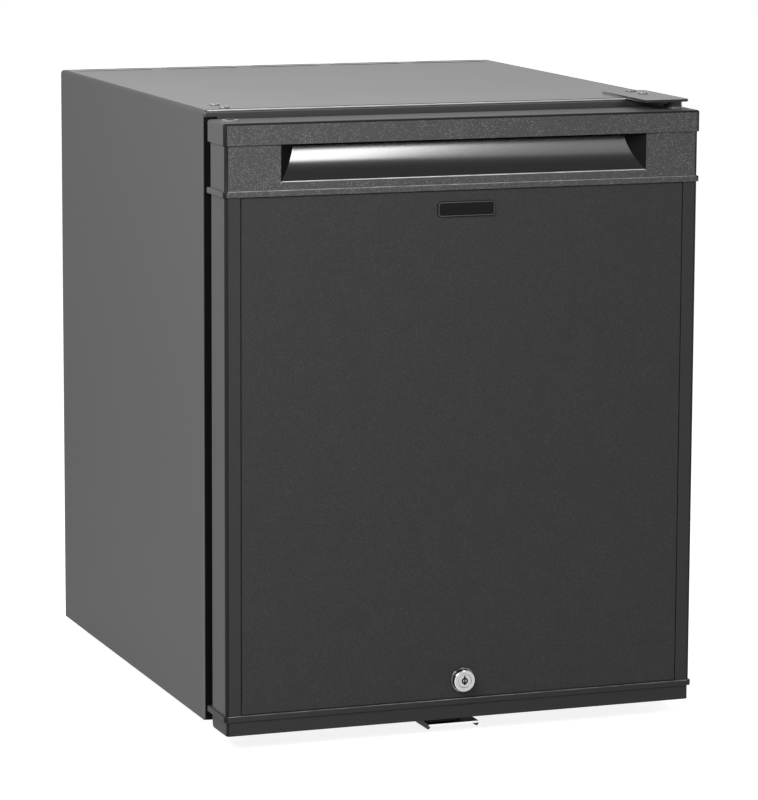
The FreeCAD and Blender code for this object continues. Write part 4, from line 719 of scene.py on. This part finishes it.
def rib_edge(node):
    """Half length, place along Y and height of a cap's rounded rib edge."""
    end, sunk = 3.2 * MM, 0.25 * MM
    low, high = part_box(node)
    profile_low, profile_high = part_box("door_profile_left")
    if node == "door_top_cap":
        y, z = profile_low.y - sunk, profile_high.z + sizes().rib - sunk
    else:
        y, z = low.y + sunk, profile_low.z - sunk
    return high.x - end, y, z


def fill_ends(work):
    """Thin bead of painted highlight down each end of the scoop, along its own front curve."""
    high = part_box("handle_insert")[1]
    radius = 0.3 * MM
    curve = {}
    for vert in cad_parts["handle_insert"].data.vertices:
        if high.x - vert.co.x < 0.1 * MM:
            height = round(vert.co.z / MM, 1)
            curve[height] = min(curve.get(height, vert.co.y), vert.co.y)
    points = [(curve[height], height * MM) for height in sorted(curve)]
    for side in (-1, 1):
        rings = []
        for index, (y, z) in enumerate(points):
            before, after = points[max(index - 1, 0)], points[min(index + 1, len(points) - 1)]
            along = Vector((0.0, after[0] - before[0], after[1] - before[1])).normalized()
            outward = Vector((0.0, -along.z, along.y))
            middle = Vector((side * (high.x - 0.2 * MM), y, z))
            rings.append(round_loop(work, middle, RIGHT, outward, radius, 6))
        bridge(work, rings, capped=True)


class FRIDGE_OT_handle(bpy.types.Operator):
    """Finish the gloss scoop behind the handle, and add the beads on its edges and the ribs"""

    bl_idname = "fridge.handle"
    bl_label = "Handle scoop"

    def execute(self, context):
        gloss = finish(
            "handle gloss", colours().handle, 0.15, spread=0.02, patch=0.02, grain=0.01,
            specular=1.0,
        )
        dress(["handle_insert"], gloss)
        # Painted shade: the faces of the top cap round the scoop, in its recess, take a near-black
        # colour
        lining = finish(
            "recess lining", colours().recess, 0.6, grain=0.06, grain_size=1.0 * MM, bump=0.1,
            specular=0.05,
        )
        low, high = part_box("handle_insert")
        skin = 2.0 * MM

        def inside(face):
            x, y, z = face.center
            beside = abs(x) < high.x + skin and low.z < z < high.z + skin
            return beside and y > low.y - skin and face.normal.y > -0.9

        recolour("door_top_cap", lining, inside)
        # Painted highlights: bright beads on the sill, the ribs and the ends of the scoop stand in
        # for glints on their rounded edges
        polished = finish(
            "polished edge", colours().polished, 0.25, spread=0.08, patch=0.7, patch_size=0.025,
            specular=0.8,
        )
        rib_highlight = finish(
            "rib edge", colours().rib_edge, 0.3, spread=0.08, patch=1.3, patch_size=0.012,
            specular=0.6,
        )
        foot = finish(
            "foot rib edge", colours().foot_rib_highlight, 0.35, spread=0.08, patch=1.4, patch_size=0.01,
            specular=0.4,
        )
        sill = (high.x - 0.4 * MM, low.y, low.z + 1.6 * MM)
        beads = (
            ("sill_bead", sill, polished, "gloss_black"),
            ("upper_rib_bead", rib_edge("door_top_cap"), rib_highlight, "cap_plastic"),
            ("lower_rib_bead", rib_edge("door_bottom_cap"), foot, "cap_plastic"),
        )
        for name, place, material, slot in beads:
            add_bar(name, *place, sizes().bead, material, "door", slot)
        add_mesh("scoop_end_beads", fill_ends, rib_highlight, "door", smooth=True)
        return {"FINISHED"}


def fill_badge_rim(work):
    """Raised rim with rounded corners just inside the badge's outline."""
    low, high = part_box("badge_plate")
    centre = (low + high) / 2
    half_width, half_height = (high.x - low.x) / 2, (high.z - low.z) / 2
    corner, inset = 3.0 * MM, 0.5 * MM
    inner = inset + sizes().badge_rim
    front, back = low.y - sizes().badge_rim_rise, low.y + 0.3 * MM
    rings = []
    for shrink, depth in ((inset, back), (inset, front), (inner, front), (inner, back)):
        outline = rounded_outline(half_width - shrink, half_height - shrink, corner - shrink)
        rings.append([work.verts.new((centre.x + x, depth, centre.z + z)) for x, z in outline])
    bridge(work, rings, closed=True)


class FRIDGE_OT_badge(bpy.types.Operator):
    """Finish the bare badge and give it its rim"""

    bl_idname = "fridge.badge"
    bl_label = "Badge"

    def execute(self, context):
        dress(["badge_plate"], finish(
            "badge face", colours().badge, 0.3, patch=0.02, grain=0.02, specular=0.12,
        ))
        rim_metal = finish(
            "badge rim", colours().badge_rim, 0.3, metallic=1.0, patch=0.3, patch_size=0.02,
        )
        add_mesh("badge_rim", fill_badge_rim, rim_metal, "door")
        return {"FINISHED"}


def fill_washer_rings(work):
    """Bright rolled ring round the foot of the upper hinge washer."""
    low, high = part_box("hinge_washers")
    radius = (high.x - low.x) / 2
    centre = Vector((low.x + radius, (low.y + high.y) / 2, high.z - 1.6 * MM))
    add_ring(work, centre, radius - 0.1 * MM, 0.5 * MM, (RIGHT, BACK))


def fill_keyway_shade(work):
    """Dark ring and upright slot of painted shade in the key's opening, proud of the plug by a
    hair.

    The tables are in millimetres: radius and rise of the ring's loops, the slot's corners, and
    the rise of the slot's loops with the share of its width.
    """
    ring_loops = ((2.7, -0.2), (2.7, 0.12), (2.3, 0.25), (1.6, 0.2), (1.3, -0.2))
    slot_corners = ((-0.55, 2.2), (0.55, 2.2), (0.4, 4.4), (-0.4, 4.4))
    slot_loops = ((-0.2, 1.0), (0.16, 1.0), (0.28, 0.6))
    low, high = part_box("lock_plug")
    centre = Vector(((low.x + high.x) / 2, low.y, (low.z + high.z) / 2))
    bridge(work, [
        round_loop(work, centre - BACK * rise * MM, RIGHT, UP, radius * MM, 24)
        for radius, rise in ring_loops
    ])
    slot = [
        [work.verts.new(centre + Vector((x * slim, -rise, z)) * MM) for x, z in slot_corners]
        for rise, slim in slot_loops
    ]
    bridge(work, slot)
    work.faces.new(slot[-1])


class FRIDGE_OT_lock(bpy.types.Operator):
    """Finish the lock, its cam, the strike plate and the hinge washers"""

    bl_idname = "fridge.lock"
    bl_label = "Lock"

    def execute(self, context):
        chrome = finish(
            "chrome", colours().chrome, 0.16, metallic=1.0, spread=0.05, patch_size=0.01,
            grain=0.02, grain_size=0.5 * MM,
        )
        brushed = finish(
            "brushed face", chip(172, 173, 174), 0.34, metallic=1.0, spread=0.1, patch=0.16,
            patch_size=0.0035, grain=0.1, grain_size=0.4 * MM, streak=(1.0, 1.0, 0.15),
        )
        dress(["lock_housing"], finish(
            "dark chrome", chip(92, 93, 95), 0.16, metallic=1.0, spread=0.08, patch=0.9,
            patch_size=0.0045, grain=0.1, grain_size=0.8 * MM,
        ), 0.35 * MM)
        dress(["lock_plug"], brushed)
        face_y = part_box("lock_housing")[0].y
        # A brushed face with a chrome rim round it, on a flange and sides in darker chrome that
        # holds painted dark reflection
        recolour(
            "lock_housing", brushed,
            lambda face: face.normal.y < -0.9 and face.center.y < face_y + 0.5 * MM,
        )
        recolour(
            "lock_housing", chrome,
            lambda face: -0.9 <= face.normal.y < -0.2 and face.center.y < face_y + 1.3 * MM,
        )
        # Painted shade in the key's opening, in the near-black recess colour
        lining = bpy.data.materials["recess lining"]
        add_mesh("keyway_ring", fill_keyway_shade, lining, "lock")
        zinc = finish(
            "zinc plate", colours().zinc, 0.38, metallic=1.0, patch=0.08, patch_size=0.012,
            grain=0.03, grain_size=0.8 * MM, spread=0.08,
        )
        dress(["lock_nut", "lock_cam", "cam_screw"], zinc)
        dress(["hinge_washers"], finish(
            "washer steel", chip(72, 72, 73), 0.35, metallic=0.6, patch=0.2, patch_size=0.006,
            grain=0.04, grain_size=0.5 * MM,
        ))
        add_mesh("washer_rings", fill_washer_rings, zinc, "cabinet", smooth=True)
        strike = finish(
            "dark plate", chip(20, 20, 21), 0.45, grain=0.04, grain_size=0.8 * MM, bump=0.1,
            bump_depth=0.04 * MM, specular=0.15,
        )
        dress(["strike_plate", "bottom_hinge_plate"], strike)
        # Painted highlight: a bright metal colour along the strike plate's front edge
        bare = finish(
            "bare edge", chip(226, 226, 226), 0.2, metallic=1.0, spread=0.06, patch=0.06,
            patch_size=0.008, grain=0.03, grain_size=0.6 * MM,
        )
        edge_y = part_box("strike_plate")[0].y + 2.5 * MM

        def front_edge(face):
            return face.center.y < edge_y and face.normal.y < -0.2 and face.normal.z > -0.5

        recolour("strike_plate", bare, front_edge)
        return {"FINISHED"}


class FRIDGE_OT_fasteners(bpy.types.Operator):
    """Finish the hinges, pins, bushes and screws"""

    bl_idname = "fridge.fasteners"
    bl_label = "Hinges and screws"

    def execute(self, context):
        plate = finish(
            "hinge plate edge", chip(34, 34, 35), 0.45, grain=0.04, grain_size=0.8 * MM, bump=0.1,
            bump_depth=0.04 * MM, specular=0.2,
        )
        # The hinge plate's top takes the top sheet's lighter grey, which holds painted light
        dress(["top_hinge_plate"], bpy.data.materials["top paint"])
        # Painted shade: the plate's front edges and other faces that don't look up take a
        # near-black colour
        roof_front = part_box("top_panel")[0].y
        recolour(
            "top_hinge_plate", plate,
            lambda face: face.normal.z < 0.5 and face.center.y < roof_front,
        )
        dress(["foot_screws", "strike_screws"], finish(
            "screw steel", chip(150, 151, 153), 0.3, metallic=1.0, patch=0.08, patch_size=0.006,
            grain=0.04, grain_size=0.5 * MM, spread=0.08,
        ))
        dress(["hinge_screws", "blanking_screws"], finish(
            "screw paint", chip(118, 118, 119), 0.2, metallic=0.5, patch=0.25, patch_size=0.003,
            grain=0.04, grain_size=0.5 * MM, spread=0.08,
        ))
        pin_and_bore_shade = finish(
            "pin steel", chip(30, 30, 31), 0.35, metallic=0.3, grain=0.04, grain_size=0.5 * MM,
        )
        dress(["hinge_pins"], pin_and_bore_shade)
        dress(["hinge_bushes"], finish(
            "bush plastic", chip(118, 118, 119), 0.35, grain=0.03, grain_size=0.8 * MM,
        ))
        low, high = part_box("hinge_bushes")
        bore = 4.4 * MM
        centre_y = (low.y + high.y) / 2
        centre_x = high.x - (high.y - low.y) / 2

        def in_bore(face):
            across = Vector((abs(face.center.x) - centre_x, face.center.y - centre_y))
            return across.length < bore

        # Painted shade: the faces inside the bush bores take the dark pin colour
        recolour("hinge_bushes", pin_and_bore_shade, in_bore)
        return {"FINISHED"}


def fill_dial(work):
    """Seven raised marks round the knob, each longer than the one before."""
    low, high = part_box("thermostat_knob")
    centre = (low + high) / 2
    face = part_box("thermostat_housing")[0].x
    marks, half_width = 7, 0.4 * MM
    start = (high.z - low.z) / 2 + 2.0 * MM
    for index in range(marks):
        share = index / (marks - 1)
        turn = math.radians(-135 + 270 * share)
        length = sizes().dial_tick * (0.5 + 0.5 * share)
        outward = Vector((0.0, -math.sin(turn), math.cos(turn)))
        across = Vector((0.0, math.cos(turn), math.sin(turn))) * half_width
        loops = []
        for rise in (0.1 * MM, -0.3 * MM):
            foot = Vector((face + rise, centre.y, centre.z)) + outward * start
            loops.append([
                work.verts.new(foot + outward * reach + across * side)
                for reach, side in ((0.0, -1), (length, -1), (length, 1), (0.0, 1))
            ])
        bridge(work, loops, capped=True)


class FRIDGE_OT_inside(bpy.types.Operator):
    """Finish the room inside the cabinet"""

    bl_idname = "fridge.inside"
    bl_label = "Inside"

    def execute(self, context):
        liner = finish(
            "liner", colours().liner, 0.36, spread=0.02, patch=0.012, patch_size=0.2, grain=0.015,
            grain_size=2 * MM, bump=0.08, bump_depth=0.1 * MM, specular=0.4,
        )
        dress(["inner_liner", "drip_tray", "door_liner"], liner)
        dress(["shelf_lower", "shelf_upper"], finish(
            "shelf coating", chip(222, 223, 224), 0.3, grain=0.01, patch=0.02,
        ))
        dress(["evaporator"], finish(
            "cold plate", chip(196, 198, 200), 0.35, metallic=1.0, grain=0.08, grain_size=0.6 * MM,
            streak=(1.0, 1.0, 0.03), spread=0.08,
        ))
        dress(["lamp_lens"], clear_finish("lamp lens", chip(246, 248, 250), 0.22))
        dress(["lamp_board"], finish(
            "circuit board", chip(36, 92, 52), 0.4, grain=0.08, grain_size=1.5 * MM,
        ))
        dress(["door_switch"], finish("switch plastic", chip(36, 36, 38), 0.5, grain=0.04))
        dress(["thermostat_housing"], finish(
            "thermostat plastic", chip(214, 216, 217), 0.4, grain=0.02, grain_size=0.8 * MM,
            bump=0.15,
        ))
        knob = finish("knob plastic", chip(70, 72, 74), 0.42, grain_size=0.8 * MM, bump=0.2)
        dress(["thermostat_knob"], knob)
        add_mesh("dial_marks", fill_dial, knob, "cabinet")
        return {"FINISHED"}


def fill_seal(work):
    """Seal with a folded side wall. The table gives each fold's step inwards and height, in mm."""
    folds = (
        (1.5, 0.0), (0.7, 1.4), (2.4, 3.2), (0.6, 5.1), (2.2, 6.9), (0.0, 8.1), (0.0, 11.4),
        (0.7, 12.2), (1.9, 12.2), (2.4, 11.75), (4.6, 11.7),
    )
    low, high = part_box("door_gasket")
    centre = (low + high) / 2
    width = 13.0 * MM
    points = [(step * MM, rise * MM) for step, rise in folds]
    points += [(width - step, rise) for step, rise in reversed(points)]
    half_width, half_height = (high.x - low.x) / 2, (high.z - low.z) / 2
    corner = width + 1.0 * MM
    rings = []
    for step, rise in points:
        outline = rounded_outline(half_width - step, half_height - step, corner - step, 8)
        rings.append([
            work.verts.new((centre.x + x, low.y + rise, centre.z + z)) for x, z in outline
        ])
    bridge(work, rings, closed=True)


class FRIDGE_OT_door_back(bpy.types.Operator):
    """Finish the back of the door, its seal and its bins"""

    bl_idname = "fridge.door_back"
    bl_label = "Door back"

    def execute(self, context):
        rubber = finish(
            "seal rubber", colours().rubber, 0.6, grain=0.04, grain_size=0.8 * MM, bump=0.1,
        )
        seal = add_mesh("folded_seal", fill_seal, rubber, "door")
        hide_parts("door_gasket")
        dress(["gasket_magnets"], finish("magnet strip", chip(60, 54, 50), 0.7, grain=0.08))
        dress(["door_bin_lower", "door_bin_upper"], clear_finish(
            "bin plastic", chip(232, 238, 240), 0.22,
        ))
        dress(["bin_rails"], bpy.data.materials["chrome"])
        return {"FINISHED"}


def fill_wool(work):
    """Lumpy block of mineral wool in the room that the boiler cover leaves."""
    low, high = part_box("boiler_insulation")
    bmesh.ops.create_cube(work, size=1.0)
    bmesh.ops.subdivide_edges(work, edges=work.edges, cuts=15, use_grid_fill=True)
    size = high - low
    centre = (low + high) / 2
    lump, depth, inset = 14.0 * MM, 1.6 * MM, 0.2 * MM
    for vert in work.verts:
        place = vert.co * size
        dent = (noise_value(place / lump) + 1) / 2 * depth + inset
        outward = Vector([
            math.copysign(1.0, part) if abs(abs(part) - 0.5) < 1e-4 else 0.0 for part in vert.co
        ])
        vert.co = centre + place - outward * dent


def fill_welds(work):
    """Beads round the two domed ends of the solution tank."""
    low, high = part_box("solution_tank")
    radius = (high.z - low.z) / 2
    middle = (low + high) / 2
    dome = 12.0 * MM
    for x in (low.x + dome, high.x - dome):
        centre = Vector((x, middle.y, middle.z))
        add_ring(work, centre, radius, sizes().weld, (BACK, UP), uneven=0.18)


class FRIDGE_OT_cooling_unit(bpy.types.Operator):
    """Finish the cooling unit in the rear bay"""

    bl_idname = "fridge.cooling_unit"
    bl_label = "Cooling unit"

    def execute(self, context):
        pipe = finish(
            "unit paint", colours().unit_black, 0.38, grain=0.08, grain_size=1.5 * MM, bump=0.35,
            bump_depth=0.12 * MM, patch=0.1, patch_size=0.03, spread=0.08, dust=0.1,
        )
        dress(["unit_pipework", "solution_tank", "absorber_coil", "condenser_fins"], pipe)
        dress(["boiler_cover", "unit_straps", "heater_cartridge"], finish(
            "cover sheet", chip(176, 178, 180), 0.36, metallic=1.0, grain=0.06, grain_size=1.0 * MM,
            streak=(1.0, 1.0, 0.04), patch=0.06, patch_size=0.05, spread=0.08,
        ))
        wool = finish("wool", chip(206, 196, 162), 0.95, grain=0.25, bump=0.8, bump_depth=0.6 * MM)
        lumps = add_mesh("wool_packing", fill_wool, wool, "cabinet", smooth=True)
        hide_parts("boiler_insulation")
        add_mesh("weld_beads", fill_welds, pipe, "cabinet", smooth=True)
        dress(["control_box", "control_box_cover", "cable_gland", "heater_leads"], finish(
            "control plastic", chip(40, 40, 42), 0.48, grain=0.06, grain_size=1.0 * MM, bump=0.3,
            bump_depth=0.06 * MM,
        ))
        return {"FINISHED"}


class FRIDGE_OT_feet(bpy.types.Operator):
    """Finish the four feet"""

    bl_idname = "fridge.feet"
    bl_label = "Feet"

    def execute(self, context):
        rubber = finish(
            "foot rubber", colours().rubber, 0.75, grain=0.08, grain_size=1.0 * MM, bump=0.3,
            bump_depth=0.08 * MM,
        )
        dress(["feet"], rubber)
        return {"FINISHED"}


# Stage


def soft_lamp(name, place, target, width, height, power, lean):
    """Rectangular lamp that faces a target, and leans to its side by some degrees."""
    data = bpy.data.lights.new(name, "AREA")
    data.shape = "RECTANGLE"
    data.size = width
    data.size_y = height
    data.energy = power
    lamp = bpy.data.objects.new(name, data)
    bpy.context.scene.collection.objects.link(lamp)
    lamp.location = place
    lamp.visible_camera = False
    lamp.rotation_mode = "QUATERNION"
    facing = (Vector(target) - Vector(place)).to_track_quat("-Z", "Y")
    lamp.rotation_quaternion = facing @ Quaternion(UP, math.radians(lean))


def seen_directly(tree, in_gloss=1.0):
    """Value of 1 for rays from the camera and through glass, and a level for rays from gloss."""
    path = put(tree, "ShaderNodeLightPath")
    gloss = calc(tree, "MULTIPLY", path.outputs["Is Glossy Ray"], in_gloss)
    both = calc(tree, "MAXIMUM", path.outputs["Is Camera Ray"], gloss)
    return calc(tree, "MAXIMUM", both, path.outputs["Is Transmission Ray"])


def make_world(level, ceiling):
    """Plain surround: white where it is seen, dimmer overhead in gloss, dimmer still as a light."""
    world = bpy.data.worlds.new("surround")
    bpy.context.scene.world = world
    world.use_nodes = True
    tree = world.node_tree
    height = put(tree, "ShaderNodeSeparateXYZ")
    feed(tree, height.inputs[0], coordinates(tree, "Generated"))
    overhead = ramp(tree, height.outputs["Z"], 0.5, 0.8, 1.0, ceiling)
    seen = seen_directly(tree, overhead)
    strength = calc(tree, "ADD", calc(tree, "MULTIPLY", seen, 1.0 - level), level)
    feed_all(tree, tree.nodes["Background"], {"Color": WHITE, "Strength": strength})


def make_floor(colour, glow):
    """Pale floor that looks white to the camera and keeps a soft shadow."""
    half = 8.0
    near, far = 1.0, 3.0
    mesh = bpy.data.meshes.new("floor")
    corners = [(-half, -half, 0.0), (half, -half, 0.0), (half, half, 0.0), (-half, half, 0.0)]
    mesh.from_pydata(corners, [], [(0, 1, 2, 3)])
    floor = bpy.data.objects.new("floor", mesh)
    bpy.context.scene.collection.objects.link(floor)
    material = bpy.data.materials.new("floor")
    material.use_nodes = True
    tree = material.node_tree
    distance = put(tree, "ShaderNodeVectorMath", operation="LENGTH")
    feed(tree, distance.inputs[0], coordinates(tree))
    rise = ramp(tree, distance.outputs["Value"], near, far, glow, 1.0, "LINEAR")
    feed_all(tree, tree.nodes["Principled BSDF"], {
        "Base Color": (*colour, 1.0), "Roughness": 0.9, "Specular IOR Level": 0.1,
        "Emission Color": WHITE,
        "Emission Strength": calc(tree, "MULTIPLY", seen_directly(tree), rise),
    })
    mesh.materials.append(material)


def make_camera(focal_length):
    """Camera at the place, turn, dip and roll worked out from the straight edges."""
    place = Vector((-1.1310, -3.1219, 0.7793))
    turn = math.radians(-20.09)
    dip = math.radians(9.31)
    roll = math.radians(0.25)
    forward = Vector((
        -math.sin(turn) * math.cos(dip), math.cos(turn) * math.cos(dip), -math.sin(dip),
    ))
    right = Vector((math.cos(turn), math.sin(turn), 0.0))
    up = right.cross(forward)
    rolled_right = right * math.cos(roll) + up * math.sin(roll)
    rolled_up = up * math.cos(roll) - right * math.sin(roll)
    axes = Matrix((rolled_right, rolled_up, -forward)).transposed()
    data = bpy.data.cameras.new("camera")
    data.sensor_width = 36.0
    data.lens = focal_length
    data.clip_start = 0.05
    data.clip_end = 100.0
    camera = bpy.data.objects.new("camera", data)
    bpy.context.scene.collection.objects.link(camera)
    camera.matrix_world = Matrix.Translation(place) @ axes.to_4x4()
    bpy.context.scene.camera = camera


class FRIDGE_OT_stage(bpy.types.Operator):
    """Set up the floor, the surround, the lamps and the camera"""

    bl_idname = "fridge.stage"
    bl_label = "Stage"

    def execute(self, context):
        values = stage_values()
        bpy.context.scene.view_settings.view_transform = "Standard"
        make_world(values.surround, values.ceiling)
        make_floor(values.floor, values.floor_glow)
        middle, handle = (0.0, 0.0, 0.25), (0.0, -0.22, 0.46)
        lamps = (
            ("side_lamp", (-1.25, -0.75, 1.2), (-0.15, -0.15, 0.3), 0.5, 0.5, 0.0),
            ("top_lamp", (0.5, 0.5, 2.2), middle, 1.4, 1.4, 0.0),
            ("key_lamp", (-0.75, -0.95, 1.0), (-0.05, -0.2, 0.35), 0.4, 0.4, 0.0),
            ("shoulder_lamp", (-0.7, 0.0, 0.95), (-0.15, 0.0, 0.4), 0.4, 0.8, 0.0),
            ("flank_lamp", (1.3, 0.35, 0.4), (0.2, 0.0, 0.25), 0.5, 0.5, 0.0),
            ("window_lamp", (0.953, -2.958, 1.81), handle, 0.3, 1.71, -4.0),
            ("front_lamp", (1.43, -2.75, 1.86), handle, 0.5, 1.8, -4.0),
        )
        for name, place, target, width, height, lean in lamps:
            soft_lamp(name, place, target, width, height, getattr(values, name), lean)
        make_camera(values.focal_length)
        return {"FINISHED"}


STEPS = (
    FRIDGE_OT_cabinet, FRIDGE_OT_trim, FRIDGE_OT_door_front, FRIDGE_OT_handle, FRIDGE_OT_badge,
    FRIDGE_OT_lock, FRIDGE_OT_fasteners, FRIDGE_OT_inside, FRIDGE_OT_door_back,
    FRIDGE_OT_cooling_unit, FRIDGE_OT_feet, FRIDGE_OT_stage,
)


class FRIDGE_PT_panel(bpy.types.Panel):
    """Buttons and values of the minibar fridge"""

    bl_idname = "FRIDGE_PT_panel"
    bl_label = "Minibar fridge"
    bl_space_type = "VIEW_3D"
    bl_region_type = "UI"
    bl_category = "Minibar"

    def draw(self, context):
        for values in (colours(), sizes(), stage_values()):
            box = self.layout.box()
            for name in values.__annotations__:
                box.prop(values, name)
        column = self.layout.column()
        for step in STEPS:
            column.operator(step.bl_idname)


CLASSES = (FridgeColours, FridgeSizes, FridgeStage, *STEPS, FRIDGE_PT_panel)


def register():
    for item in CLASSES:
        bpy.utils.register_class(item)
    bpy.types.Scene.fridge_colours = bpy.props.PointerProperty(type=FridgeColours)
    bpy.types.Scene.fridge_sizes = bpy.props.PointerProperty(type=FridgeSizes)
    bpy.types.Scene.fridge_stage = bpy.props.PointerProperty(type=FridgeStage)


def unregister():
    del bpy.types.Scene.fridge_stage
    del bpy.types.Scene.fridge_sizes
    del bpy.types.Scene.fridge_colours
    for item in reversed(CLASSES):
        bpy.utils.unregister_class(item)


def main():
    """Dresses the model step by step."""
    register()
    for step in STEPS:
        group, name = step.bl_idname.split(".")
        getattr(getattr(bpy.ops, group), name)()


if __name__ == "__main__":
    main()
